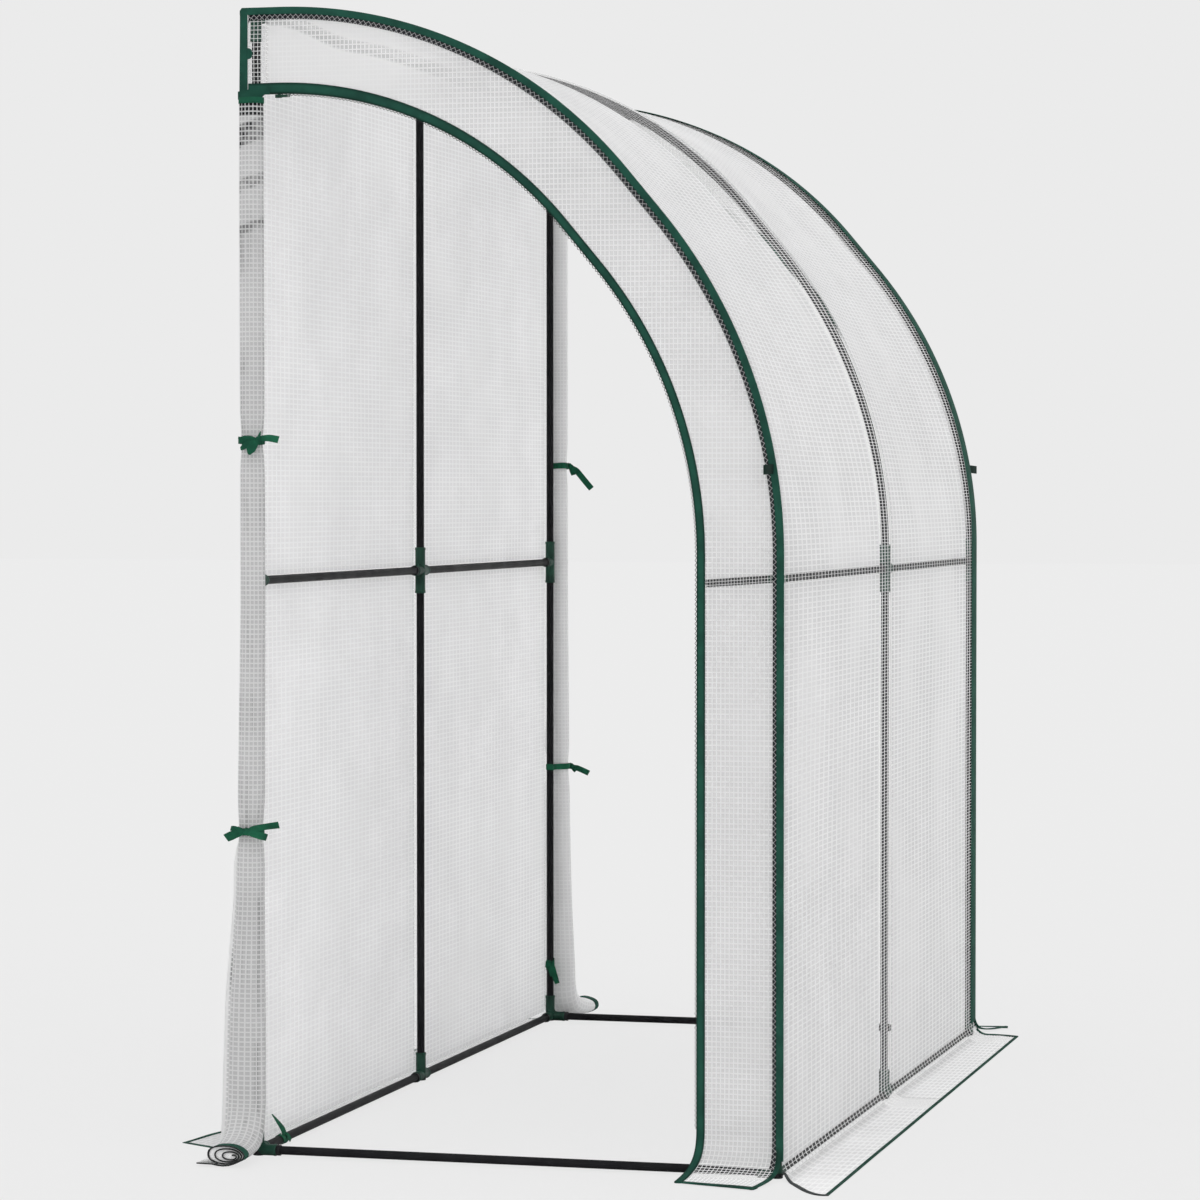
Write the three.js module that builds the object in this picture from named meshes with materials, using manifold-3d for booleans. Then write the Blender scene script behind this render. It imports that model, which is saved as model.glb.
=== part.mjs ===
import * as THREE from "three";
import { mergeVertices } from "three/addons/utils/BufferGeometryUtils.js";
import Module from "manifold-3d";

const wasm = await Module();
wasm.setup();

// Lean-to greenhouse in millimetres: X runs away from the house wall, Y along it, Z up.
// The origin lies on the ground under the middle wall post.

// Frame
const HOOP_SPACING = 1000;
const DEPTH = 990;
const WAIST_HEIGHT = 1072;
const FRONT_WAIST_RISE = 9;
const RIDGE_HEIGHT = 2118;
const ARCH_STRAIGHT = 100;
const ARCH_TURN_DEGREES = 40;
const TUBE_SIZE = 16;
const TUBE_WALL = 1;
const TUBE_SIDES = 12;
const TUBE_HIGH_STEPS = 7;
const TUBE_LOW_STEPS = 5;
const SPLICE_SHARE = 0.54;
const SPIGOT_REACH = 35;
const SPIGOT_SEAT = 6;
const SPIGOT_INSET = 1;
const SPIGOT_WALL = 1;

// Push-fit connectors
const SOCKET_SIZE = 21;
const SOCKET_REACH = 48;
const SOCKET_SIDE_REACH = 36;
const SOCKET_STOP = 12;
const FIT_GAP = 0.3;
const GUSSET_LEG = 10;
const GUSSET_WIDTH = 4;
const SPUR_REACH = 129;
const SPUR_DROOP_DEGREES = 4;
const BORE_OVERRUN = 2;

// Cover sheets
const SHEET = 1;
const SHEET_OFFSET = 11.3;
const CORNER_INSET = 2;
const CORNER_STEPS = 3;
const COVER_HIGH_STEPS = 12;
const COVER_LOW_STEPS = 7;
const FOLD_RADIUS = 30;
const FOLD_STEPS = 3;
const FLAP_STEPS = 2;
const FRONT_FLAP = 102;
const FRONT_FLAP_FLARE = 108;
const FRONT_FLAP_SLANT = 18;
const BACK_FLAP = 140;
const BACK_FLAP_TIP = 34;
const BACK_FLAP_SLANT = 104;
const BACK_FLAP_PANEL = 84;
const STRIP_WIDTH = 145.5;
const STRIP_FLAP_INNER = 94;
const STRIP_FLAP_OUTER = 129;
const STRIP_FLAP_SLANT = 8.5;
const STRIP_FLAP_DRAW = 16;

// Tapes, guy tabs and zips
const TAPE = 1;
const TAPE_GAP = 0.3;
const TAPE_WIDTH = 13;
const NEAR_ROOF_TAPE = 6;
const FAR_ROOF_TAPE = 28;
const BACK_TAPE_WIDTH = 14.4;
const BACK_TAPE_BULGE = 1.5;
const BACK_TAPE_LENGTH = 173;
const GUY_HEIGHT = 1275;
const GUY_WIDTH = 17;
const GUY_LENGTH = 55;
const GUY_THICK = 2.4;
const ZIP_ROW = 3.5;
const ZIP_THICK = 2;
const SLIDER_LENGTH = 12;
const SLIDER_PLATE = 1.4;
const SLIDER_WEB = 2.7;
const SLIDER_SIDE_GAP = 0.4;
const SLIDER_RIDE_GAP = 0.8;
const BRIDGE_LEG = 1.2;
const BRIDGE_WIDTH = 3;
const BRIDGE_GAP = 2.4;
const PULL_THICK = 1.2;
const PULL_SIDE_GAP = 0.9;
const PULL_LENGTH = 24;
const PULL_WIDTH = 5;
const PULL_EYE = 2;
const PULL_EYE_LENGTH = 4;

// Rolled doors and their ties
const ROLL_DROP = 163;
const ROLL_WIDTH = 54;
const ROLL_DEPTH = 42;
const ROLL_AXIS = 37;
const ROLL_TURNS = 3;
const ROLL_TURN_STEPS = 10;
const ROLL_END_DEGREES = -120;
const ROLL_BEND = 85;
const ROLL_BEND_STEPS = 3;
const ROLL_FLOOR_LENGTH = 28;
const ROLL_CLEAR = 0.5;
const ROLL_SEAM_FROM = 700;
const RIBBON = 1;
const RIBBON_WIDTH = 14;
const RIBBON_GAP = 0.6;
const RIBBON_STEPS = 10;
const KNOT_SIZE = 14;
const KNOT_HEIGHT = 10;
const KNOT_SEAT = 3.5;
const KNOT_SIDE_COUNT = 5;
const KNOT_RING_COUNT = 3;
const TIE_TAIL = 42;
const ROLL_CORE_SHARE = 0.25;
const PINCH_SHARE = 0.87;
const TAIL_TIP_SHARES = [-1.22, -0.8];
const TAIL_HUG_SHARES = [-0.75, -0.63];
const SEAM_GAP_DEGREES = [-108, 210];

// Height as a share of the roll's top, centre and half width as shares of its width
const NEAR_ROLL_SHARES = [
  [1, 0.04, 0.5],
  [0.52, 0.05, 0.51],
  [0.245, -0.08, 0.58],
  [0.15, -0.2, 0.74],
  [0.06, -0.24, 0.8],
];
const FAR_ROLL_SHARES = [
  [1, 0.42, 0.48],
  [0.52, 0.44, 0.5],
  [0.245, 0.46, 0.54],
  [0.15, 0.47, 0.6],
  [0.06, 0.5, 0.72],
];

// Ribbon tails around each knot, X and Z as shares of the tail's length
const LEFT_FAN_SHARES = [
  [0, 0.14], [-0.82, 0.24], [-0.78, 0.02], [-0.82, -0.14],
  [-0.5, -0.12], [-0.36, -0.4], [-0.1, -0.14],
];
const RIGHT_TAIL_SHARES = [
  [0, 0.13], [0.14, 0.28], [0.3, 0.12], [0.98, 0.14], [1, -0.14], [0.5, -0.12], [0, -0.1],
];
const CUT_TAIL_SHARES = [
  [0, 0.14], [-0.5, 0.1], [-1, 0.06], [-0.88, -0.2], [-0.4, -0.12], [0, -0.14],
];
const RISING_TAIL_SHARES = [
  [0, 0.12], [0.5, 0.22], [1, 0.4], [1.02, 0.16], [0.5, 0], [0.4, -0.3], [0.14, -0.12],
];
const DROOPING_TAIL_SHARES = [
  [0, 0.12], [0.3, 0.1], [0.6, -0.1], [0.98, -0.34], [0.84, -0.52], [0.5, -0.3], [0, -0.18],
];

// Ties: height as a share of the roll's top, knot place as shares of its half width and depth
const TIES = {
  near: [
    { name: "upper", heightShare: 0.681, knotShares: [0.25, 1], tails: [LEFT_FAN_SHARES, RIGHT_TAIL_SHARES] },
    { name: "lower", heightShare: 0.312, knotShares: [-0.3, 1], tails: [CUT_TAIL_SHARES, RISING_TAIL_SHARES] },
  ],
  far: [
    { name: "upper", heightShare: 0.663, knotShares: [0.8, 0.6], tails: [DROOPING_TAIL_SHARES] },
    { name: "lower", heightShare: 0.3033, knotShares: [0.8, 0.6], tails: [DROOPING_TAIL_SHARES] },
  ],
};
const WRAP_DEGREES = { near: [225, -60], far: [200, -50] };

// Values that follow from the sizes above
const FOOT_HEIGHT = SOCKET_SIZE / 2;
const TUBE_START = SOCKET_STOP + FIT_GAP;
const SOCKET_BORE = TUBE_SIZE / 2 + FIT_GAP;
const TURN = THREE.MathUtils.degToRad(ARCH_TURN_DEGREES);
const SHEET_OUT = SHEET_OFFSET + SHEET;
const TAPE_IN = SHEET_OUT + TAPE_GAP;
const TAPE_OUT = TAPE_IN + TAPE;
const FRONT_WAIST_HEIGHT = WAIST_HEIGHT + FRONT_WAIST_RISE;
const SPRING_HEIGHT = WAIST_HEIGHT + SOCKET_REACH;
const ROLL_TOP = RIDGE_HEIGHT - ROLL_DROP;
const ARCH = archRadii();
const RUN_HIGH = SOCKET_REACH;
const RUN_STRAIGHT = RUN_HIGH + ARCH.high * (Math.PI / 2 - TURN);
const RUN_LOW = RUN_STRAIGHT + ARCH_STRAIGHT;
const RUN_FRONT = RUN_LOW + ARCH.low * TURN;
const RUN_SPLICE = RUN_FRONT * SPLICE_SHARE;
const RUN_FRONT_MOUTH = RUN_FRONT - FRONT_WAIST_RISE;
const RUN_FRONT_STOP = RUN_FRONT_MOUTH + SOCKET_REACH - TUBE_START;

const tubeSteel = paint("#222326", 0.42, 0.25);
const connectorPlastic = paint("#1f4638", 0.5, 0);
const coverSheet = paint("#e6e9ea", 0.6, 0);
const greenTape = paint("#2a5546", 0.85, 0);
const greenRibbon = paint("#19603f", 0.7, 0);
const zipPlastic = paint("#26302c", 0.45, 0);

function paint(color, roughness, metalness) {
  return () => new THREE.MeshStandardMaterial({ color, roughness, metalness });
}

// Two arcs and a straight between them fill the roof's depth and height
function archRadii() {
  const away = DEPTH - SOCKET_REACH - ARCH_STRAIGHT * Math.sin(TURN);
  const rise = RIDGE_HEIGHT - SPRING_HEIGHT - ARCH_STRAIGHT * Math.cos(TURN);
  const c = Math.cos(TURN);
  const s = Math.sin(TURN);
  const base = (1 - c) * (1 - s) - c * s;
  return {
    low: (away * (1 - s) - c * rise) / base,
    high: ((1 - c) * rise - s * away) / base,
  };
}

// Point and outward normal on the hoop's centreline, measured from the ridge joint
function hoopAt(distance) {
  if (distance <= RUN_HIGH) return { x: distance, z: RIDGE_HEIGHT, nx: 0, nz: 1 };
  if (distance <= RUN_STRAIGHT) {
    const angle = Math.PI / 2 - (distance - RUN_HIGH) / ARCH.high;
    return onArc(RUN_HIGH, RIDGE_HEIGHT - ARCH.high, ARCH.high, angle);
  }
  if (distance <= RUN_LOW) {
    const start = onArc(RUN_HIGH, RIDGE_HEIGHT - ARCH.high, ARCH.high, TURN);
    const along = distance - RUN_STRAIGHT;
    return { ...start, x: start.x + along * Math.sin(TURN), z: start.z - along * Math.cos(TURN) };
  }
  if (distance <= RUN_FRONT) {
    const angle = TURN - (distance - RUN_LOW) / ARCH.low;
    return onArc(DEPTH - ARCH.low, SPRING_HEIGHT, ARCH.low, angle);
  }
  return { x: DEPTH, z: SPRING_HEIGHT - (distance - RUN_FRONT), nx: 1, nz: 0 };
}

function onArc(x, z, radius, angle) {
  const nx = Math.cos(angle);
  const nz = Math.sin(angle);
  return { x: x + radius * nx, z: z + radius * nz, nx, nz };
}

// The hoop's centreline between chosen stops, as a curve to extrude along
class HoopRun extends THREE.Curve {
  constructor(stops) {
    super();
    this.stops = stops;
  }

  distanceAt(t) {
    const place = t * (this.stops.length - 1);
    const index = Math.min(Math.floor(place), this.stops.length - 2);
    return THREE.MathUtils.lerp(this.stops[index], this.stops[index + 1], place - index);
  }

  getPoint(t, target = new THREE.Vector3()) {
    const { x, z } = hoopAt(this.distanceAt(t));
    return target.set(x, 0, z);
  }

  getPointAt(u, target) {
    return this.getPoint(u, target);
  }

  getTangentAt(u, target = new THREE.Vector3()) {
    const { nx, nz } = hoopAt(this.distanceAt(u));
    return target.set(nz, 0, -nx);
  }
}

// Evenly spaced values after the first, up to and with the last
function steps(from, to, count) {
  return Array.from({ length: count }, (_, i) => from + ((to - from) * (i + 1)) / count);
}

function polygon(acrossFlats) {
  const radius = acrossFlats / 2 / Math.cos(Math.PI / TUBE_SIDES);
  return Array.from({ length: TUBE_SIDES }, (_, i) => {
    const angle = ((i * 2 + 1) * Math.PI) / TUBE_SIDES;
    return new THREE.Vector2(radius * Math.cos(angle), radius * Math.sin(angle));
  });
}

function ringShape(size, bore) {
  const shape = new THREE.Shape(polygon(size));
  shape.holes.push(new THREE.Path(polygon(bore)));
  return shape;
}

function extrude(shape, depth) {
  return new THREE.ExtrudeGeometry(shape, { depth, steps: 1, bevelEnabled: false });
}

function extrudeAlong(shape, extrudePath, count) {
  return new THREE.ExtrudeGeometry(shape, { extrudePath, steps: count, bevelEnabled: false });
}

// Closed geometry from corner points and faces, turned so that its faces point out
function closed(points, faces) {
  const volume = faces.reduce((sum, [a, b, c]) => {
    return sum + points[a].dot(new THREE.Vector3().crossVectors(points[b], points[c]));
  }, 0);
  const turned = volume < 0 ? faces.map(([a, b, c]) => [a, c, b]) : faces;
  const geometry = new THREE.BufferGeometry().setFromPoints(points);
  geometry.setIndex(turned.flat());
  geometry.computeVertexNormals();
  return geometry;
}

// Faces of a section made of two rows of points that run side by side
function bandFaces(outline) {
  const last = outline.length - 1;
  const faces = [];
  for (let i = 0; i + 1 < outline.length / 2; i += 1) {
    faces.push([i, i + 1, last - i - 1], [i, last - i - 1, last - i]);
  }
  return faces;
}

function sectionFaces(outline) {
  const points = outline.map(([u, v]) => new THREE.Vector2(u, v));
  const faces = THREE.ShapeUtils.triangulateShape(points, []);
  return THREE.ShapeUtils.isClockWise(points) ? faces.map(([a, b, c]) => [a, c, b]) : faces;
}

// Solid through a row of stations, each with an outline and a rule that places its points
function loft(stations, capFaces) {
  const size = stations[0].outline.length;
  const points = stations.flatMap(({ outline, place }) => outline.map(([u, v]) => place(u, v)));
  const faces = [];
  for (let s = 0; s + 1 < stations.length; s += 1) {
    for (let i = 0; i < size; i += 1) {
      const a = s * size + i;
      const b = s * size + ((i + 1) % size);
      faces.push([a, b, b + size], [a, b + size, a + size]);
    }
  }
  const end = points.length - size;
  capFaces(stations[0].outline).forEach(([a, b, c]) => faces.push([c, b, a]));
  capFaces(stations.at(-1).outline).forEach(([a, b, c]) => faces.push([end + a, end + b, end + c]));
  return closed(points, faces);
}

function solidOf(geometry) {
  const bare = geometry.clone();
  bare.deleteAttribute("normal");
  bare.deleteAttribute("uv");
  const merged = mergeVertices(bare);
  const vertProperties = new Float32Array(merged.attributes.position.array);
  const triVerts = new Uint32Array(merged.index.array);
  return new wasm.Manifold(new wasm.Mesh({ numProp: 3, vertProperties, triVerts }));
}

function geometryOf(solid) {
  const { vertProperties, triVerts } = solid.getMesh();
  const geometry = new THREE.BufferGeometry();
  geometry.setAttribute("position", new THREE.BufferAttribute(vertProperties, 3));
  geometry.setIndex(new THREE.BufferAttribute(triVerts, 1));
  geometry.computeVertexNormals();
  return geometry;
}

function shaped(bodies, cuts = []) {
  const body = bodies.map(solidOf).reduce((sum, next) => sum.add(next));
  return geometryOf(cuts.map(solidOf).reduce((rest, next) => rest.subtract(next), body));
}

function addMesh(parent, name, geometry, material, x = 0, y = 0, z = 0) {
  const mesh = new THREE.Mesh(geometry, material());
  mesh.name = name;
  mesh.position.set(x, y, z);
  parent.add(mesh);
  return mesh;
}

// Frame tubes
function tubeShape() {
  return ringShape(TUBE_SIZE, TUBE_SIZE - TUBE_WALL * 2);
}

// The stops a tube needs between two places on the hoop: both ends and the bends between them
function tubeStops(from, to) {
  const high = steps(RUN_HIGH, RUN_STRAIGHT, TUBE_HIGH_STEPS);
  const low = steps(RUN_LOW, RUN_FRONT_MOUTH, TUBE_LOW_STEPS);
  const bends = [RUN_HIGH, ...high, RUN_LOW, ...low];
  return [from, ...bends.filter((stop) => stop > from && stop < to), to];
}

function archUpper() {
  const stops = tubeStops(TUBE_START, RUN_SPLICE);
  return extrudeAlong(tubeShape(), new HoopRun(stops), stops.length - 1);
}

// The lower arch ends in a swaged spigot that plugs into the upper one
function archLower() {
  const start = RUN_SPLICE + FIT_GAP;
  const stops = tubeStops(start, RUN_FRONT_STOP);
  const tube = extrudeAlong(tubeShape(), new HoopRun(stops), stops.length - 1);
  const spigotSize = TUBE_SIZE - (TUBE_WALL + FIT_GAP) * 2;
  const spigotBore = spigotSize - SPIGOT_WALL * 2;
  const collarSize = TUBE_SIZE - TUBE_WALL;
  const seat = start + SPIGOT_SEAT;
  const spigotRun = new HoopRun([start - SPIGOT_REACH, seat]);
  const collarRun = new HoopRun([start + SPIGOT_INSET, seat]);
  const spigot = extrudeAlong(ringShape(spigotSize, spigotBore), spigotRun, 1);
  const collar = extrudeAlong(ringShape(collarSize, spigotBore), collarRun, 1);
  return shaped([tube, spigot, collar]);
}

function addHoop(parent, name, y) {
  const hoop = new THREE.Group();
  hoop.position.y = y;
  parent.add(hoop);
  const lower = extrude(tubeShape(), WAIST_HEIGHT - FOOT_HEIGHT - TUBE_START * 2);
  const upper = extrude(tubeShape(), RIDGE_HEIGHT - WAIST_HEIGHT - TUBE_START * 2);
  const front = extrude(tubeShape(), FRONT_WAIST_HEIGHT - FOOT_HEIGHT - TUBE_START * 2);
  const footTop = FOOT_HEIGHT + TUBE_START;
  addMesh(hoop, `wall_post_lower_${name}`, lower, tubeSteel, 0, 0, footTop);
  addMesh(hoop, `wall_post_upper_${name}`, upper, tubeSteel, 0, 0, WAIST_HEIGHT + TUBE_START);
  addMesh(hoop, `front_post_${name}`, front, tubeSteel, DEPTH, 0, footTop);
  addMesh(hoop, `arch_lower_${name}`, archLower(), tubeSteel);
  addMesh(hoop, `arch_upper_${name}`, archUpper(), tubeSteel);
  return hoop;
}

function addRails(parent) {
  const length = HOOP_SPACING - TUBE_START * 2;
  const rails = [
    ["wall_ground_rail", 0, FOOT_HEIGHT],
    ["wall_mid_rail", 0, WAIST_HEIGHT],
    ["ridge_rail", 0, RIDGE_HEIGHT],
    ["front_ground_rail", DEPTH, FOOT_HEIGHT],
    ["front_mid_rail", DEPTH, FRONT_WAIST_HEIGHT],
  ];
  for (const [name, x, z] of rails) {
    for (const [half, y] of [["near", -HOOP_SPACING], ["far", 0]]) {
      const rail = extrude(tubeShape(), length);
      const mesh = addMesh(parent, `${name}_${half}`, rail, tubeSteel, x, y + TUBE_START, z);
      mesh.rotation.x = -Math.PI / 2;
    }
  }
}

function addSill(hoop, name) {
  const length = DEPTH - TUBE_START * 2;
  const sill = extrude(tubeShape(), length);
  const mesh = addMesh(hoop, `door_sill_${name}`, sill, tubeSteel, TUBE_START, 0, FOOT_HEIGHT);
  mesh.rotation.y = Math.PI / 2;
}

// Connectors
const UP = new THREE.Vector3(0, 0, 1);

function turnedTo(geometry, direction) {
  const turn = new THREE.Quaternion().setFromUnitVectors(UP, direction);
  return geometry.applyQuaternion(turn);
}

function prism(size, from, to) {
  return extrude(new THREE.Shape(polygon(size)), to - from).translate(0, 0, from);
}

// A web in the corner between the upright stem and a side arm
function gusset(armDirection, stemSign) {
  const seat = (FOOT_HEIGHT + SOCKET_BORE) / 2;
  const tip = FOOT_HEIGHT + GUSSET_LEG;
  const corner = [[seat, seat], [tip, seat], [seat, tip]];
  const shape = new THREE.Shape(corner.map(([x, y]) => new THREE.Vector2(x, y * stemSign)));
  const web = extrude(shape, GUSSET_WIDTH).translate(0, 0, -GUSSET_WIDTH / 2);
  web.rotateX(Math.PI / 2);
  return web.rotateZ(Math.atan2(armDirection.y, armDirection.x));
}

function connector({ up, down, sides, spur }) {
  const low = down ? SOCKET_REACH : FOOT_HEIGHT;
  const high = up ? SOCKET_REACH : 0;
  const bore = SOCKET_BORE * 2;
  const bodies = [prism(SOCKET_SIZE, -low, high)];
  const cuts = [];
  const cutTo = SOCKET_REACH + BORE_OVERRUN;
  if (up) cuts.push(prism(bore, SOCKET_STOP, cutTo));
  if (down) cuts.push(prism(bore, -cutTo, -SOCKET_STOP));
  for (const [x, y] of sides) {
    const direction = new THREE.Vector3(x, y, 0);
    const reach = y ? SOCKET_SIDE_REACH : SOCKET_REACH;
    const root = y && !up ? -FOOT_HEIGHT : 0;
    bodies.push(turnedTo(prism(SOCKET_SIZE, root, reach), direction));
    cuts.push(turnedTo(prism(bore, SOCKET_STOP, reach + BORE_OVERRUN), direction));
    if (up) bodies.push(gusset(direction, 1));
    if (down) bodies.push(gusset(direction, -1));
  }
  if (spur) {
    const droop = THREE.MathUtils.degToRad(SPUR_DROOP_DEGREES);
    const direction = new THREE.Vector3(-Math.cos(droop), 0, -Math.sin(droop));
    bodies.push(turnedTo(prism(TUBE_SIZE, 0, SPUR_REACH), direction));
    const spurBore = TUBE_SIZE - TUBE_WALL * 2;
    cuts.push(turnedTo(prism(spurBore, SOCKET_REACH, SPUR_REACH + BORE_OVERRUN), direction));
  }
  return shaped(bodies, cuts);
}

function addConnectors(hoop, name) {
  const along = { near: [[0, 1]], mid: [[0, 1], [0, -1]], far: [[0, -1]] }[name];
  const isEnd = name !== "mid";
  const outward = [1, 0];
  const inward = [-1, 0];
  const wallFoot = connector({ up: true, sides: isEnd ? [...along, outward] : along });
  const frontFoot = connector({ up: true, sides: isEnd ? [...along, inward] : along });
  const wallJoint = connector({ up: true, down: true, sides: along });
  const frontJoint = connector({ up: true, down: true, sides: along, spur: isEnd });
  const ridgeJoint = connector({ down: true, sides: [...along, outward] });
  addMesh(hoop, `wall_foot_${name}`, wallFoot, connectorPlastic, 0, 0, FOOT_HEIGHT);
  addMesh(hoop, `front_foot_${name}`, frontFoot, connectorPlastic, DEPTH, 0, FOOT_HEIGHT);
  addMesh(hoop, `wall_joint_${name}`, wallJoint, connectorPlastic, 0, 0, WAIST_HEIGHT);
  addMesh(hoop, `front_joint_${name}`, frontJoint, connectorPlastic, DEPTH, 0, FRONT_WAIST_HEIGHT);
  addMesh(hoop, `ridge_joint_${name}`, ridgeJoint, connectorPlastic, 0, 0, RIDGE_HEIGHT);
}

// Stations of the cover from the top corner at the wall, over the arch, to above the fold.
// Offset is the distance out from the hoop's centreline.
function cornerStations() {
  return steps(Math.PI, Math.PI / 2, CORNER_STEPS).reduce((list, angle) => {
    return [...list, cornerStation(angle)];
  }, [cornerStation(Math.PI)]);
}

function cornerStation(angle) {
  const nx = Math.cos(angle);
  const nz = Math.sin(angle);
  const at = (offset) => {
    const reach = offset - CORNER_INSET;
    return [-CORNER_INSET + nx * reach, RIDGE_HEIGHT + CORNER_INSET + nz * reach];
  };
  return { at };
}

function archStations() {
  const high = steps(RUN_HIGH, RUN_STRAIGHT, COVER_HIGH_STEPS);
  const low = steps(RUN_LOW, RUN_FRONT, COVER_LOW_STEPS);
  return [RUN_HIGH, ...high, RUN_LOW, ...low].map((distance) => {
    const { x, z, nx, nz } = hoopAt(distance);
    return { at: (offset) => [x + nx * offset, z + nz * offset] };
  });
}

function frontStation(height) {
  return { at: (offset) => [DEPTH + offset, height] };
}

// A sheet that comes down and folds out flat on the ground. Offset is measured as above,
// lift is the flat part's height above the ground and run its distance past the fold.
function folded(offset, angle, run, lift = 0) {
  const centre = SHEET_OUT + FOLD_RADIUS;
  const reach = centre - offset;
  return {
    out: centre - reach * Math.cos(angle) + run,
    up: FOLD_RADIUS + SHEET + lift - reach * Math.sin(angle),
  };
}

const FOLD_ANGLES = [0, ...steps(0, Math.PI / 2, FOLD_STEPS)];

// Rows of points across a sheet: inner face along the columns, then the outer face back
function sheetOutline(columns, inner = SHEET_OFFSET, outer = SHEET_OUT) {
  const there = columns.map((column) => [column, inner]);
  const back = columns.map((column) => [column, outer]).reverse();
  return [...there, ...back];
}

function frontRoofSheet() {
  const edge = HOOP_SPACING + SHEET_OUT;
  const across = [...cornerStations(), ...archStations()].map(({ at }) => ({
    outline: sheetOutline([-edge, edge]),
    place: (y, offset) => new THREE.Vector3(at(offset)[0], y, at(offset)[1]),
  }));
  const flat = FRONT_FLAP - FOLD_RADIUS;
  const station = (angle, run) => {
    const share = (FOLD_RADIUS * Math.sin(angle) ** 2 + run) / FRONT_FLAP;
    const near = -edge - FRONT_FLAP_FLARE * share;
    const far = edge - FRONT_FLAP_SLANT * (run / flat) ** 2;
    return {
      outline: sheetOutline([near, far]),
      place: (y, offset) => {
        const { out, up } = folded(offset, angle, run);
        return new THREE.Vector3(DEPTH + out, y, up);
      },
    };
  };
  const fold = FOLD_ANGLES.map((angle) => station(angle, 0));
  const flap = steps(0, flat, FLAP_STEPS).map((run) => station(Math.PI / 2, run));
  return loft([...across, ...fold, ...flap], bandFaces);
}

function backWallSheet() {
  const edge = HOOP_SPACING + SHEET_OUT;
  const top = RIDGE_HEIGHT + CORNER_INSET - FIT_GAP;
  const columns = [-edge, -edge + BACK_FLAP_SLANT + BACK_FLAP_PANEL, edge];
  const upright = {
    outline: sheetOutline(columns),
    place: (y, offset) => new THREE.Vector3(-offset, y, top),
  };
  const flat = BACK_FLAP - FOLD_RADIUS;
  const station = (angle, run) => {
    const share = (FOLD_RADIUS * Math.sin(angle) ** 2 + run) / BACK_FLAP;
    const drawn = [-edge + BACK_FLAP_SLANT * share, columns[1], edge];
    return {
      outline: sheetOutline(drawn),
      place: (y, offset) => {
        const isTip = y === drawn[0];
        const extra = isTip ? (BACK_FLAP_TIP * run) / flat : 0;
        const { out, up } = folded(offset, angle, run + extra);
        return new THREE.Vector3(-out, y, up);
      },
    };
  };
  const fold = FOLD_ANGLES.map((angle) => station(angle, 0));
  const flap = steps(0, flat, FLAP_STEPS).map((run) => station(Math.PI / 2, run));
  return loft([upright, ...fold, ...flap], bandFaces);
}

// End pieces are made outward from the hoop's plane: side is -1 at the near end, 1 at the far end
const GROUND_LIFT = TAPE_GAP + TAPE;

function endStation(at, inner, outer) {
  return (side) => ({
    outline: sheetOutline([inner, outer]),
    place: (column, out) => {
      const [x, z] = at(column);
      return new THREE.Vector3(x, side * out, z);
    },
  });
}

// The strip round a doorway, from the wall over the arch and down, with its ground flap
function endFrameSheet(side) {
  const outer = SHEET_OFFSET - TAPE_GAP;
  const corner = cornerStations().map(({ at }) => {
    const drop = (column) => (column === outer ? at(outer) : [at(outer)[0], RIDGE_HEIGHT - STRIP_WIDTH]);
    return endStation(drop, -STRIP_WIDTH, outer)(side);
  });
  const over = archStations().map(({ at }) => endStation(at, -STRIP_WIDTH, outer)(side));
  const station = (angle, innerRun, outerRun) => ({
    outline: sheetOutline([-STRIP_WIDTH, outer]),
    place: (column, out) => {
      const isOuter = column === outer;
      const run = isOuter ? outerRun : innerRun;
      const slant = isOuter ? STRIP_FLAP_DRAW : STRIP_FLAP_SLANT;
      const flat = (isOuter ? STRIP_FLAP_OUTER : STRIP_FLAP_INNER) - FOLD_RADIUS;
      const place = folded(out, angle, run, GROUND_LIFT);
      const x = DEPTH + column - (slant * run) / flat;
      return new THREE.Vector3(x, side * place.out, place.up);
    },
  });
  const fold = FOLD_ANGLES.map((angle) => station(angle, 0, 0));
  const reach = station(Math.PI / 2, STRIP_FLAP_INNER - FOLD_RADIUS, STRIP_FLAP_OUTER - FOLD_RADIUS);
  return loft([...corner, ...over, ...fold, reach], bandFaces);
}

// Folded tape over the strip's inner edge, with the zip's coil along it
function openingBinding(side) {
  const edge = -STRIP_WIDTH - TAPE_GAP;
  const web = edge - TAPE;
  const leg = web + TAPE_WIDTH + TAPE;
  const inside = SHEET_OFFSET - TAPE_GAP;
  const back = inside - TAPE;
  const zipBack = (back + TAPE_OUT - ZIP_THICK) / 2;
  const zipFront = zipBack + ZIP_THICK;
  const outline = [
    [leg, TAPE_IN], [leg, TAPE_OUT], [web, TAPE_OUT], [web, zipFront],
    [web - ZIP_ROW, zipFront], [web - ZIP_ROW, zipBack], [web, zipBack],
    [web, back], [leg, back], [leg, inside], [edge, inside], [edge, TAPE_IN],
  ];
  const start = {
    outline,
    place: (n, out) => new THREE.Vector3(-SHEET_OFFSET + TAPE_GAP, side * out, RIDGE_HEIGHT + n),
  };
  const over = archStations().map(({ at }) => ({
    outline,
    place: (n, out) => new THREE.Vector3(at(n)[0], side * out, at(n)[1]),
  }));
  const station = (angle, run) => ({
    outline,
    place: (n, out) => {
      const place = folded(out, angle, run, GROUND_LIFT);
      const slant = (STRIP_FLAP_SLANT * run) / (STRIP_FLAP_INNER - FOLD_RADIUS);
      return new THREE.Vector3(DEPTH + n - slant, side * place.out, place.up);
    },
  });
  const fold = FOLD_ANGLES.map((angle) => station(angle, 0));
  const flap = station(Math.PI / 2, STRIP_FLAP_INNER - FOLD_RADIUS);
  return loft([start, ...over, ...fold, flap], sectionFaces);
}

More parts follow.
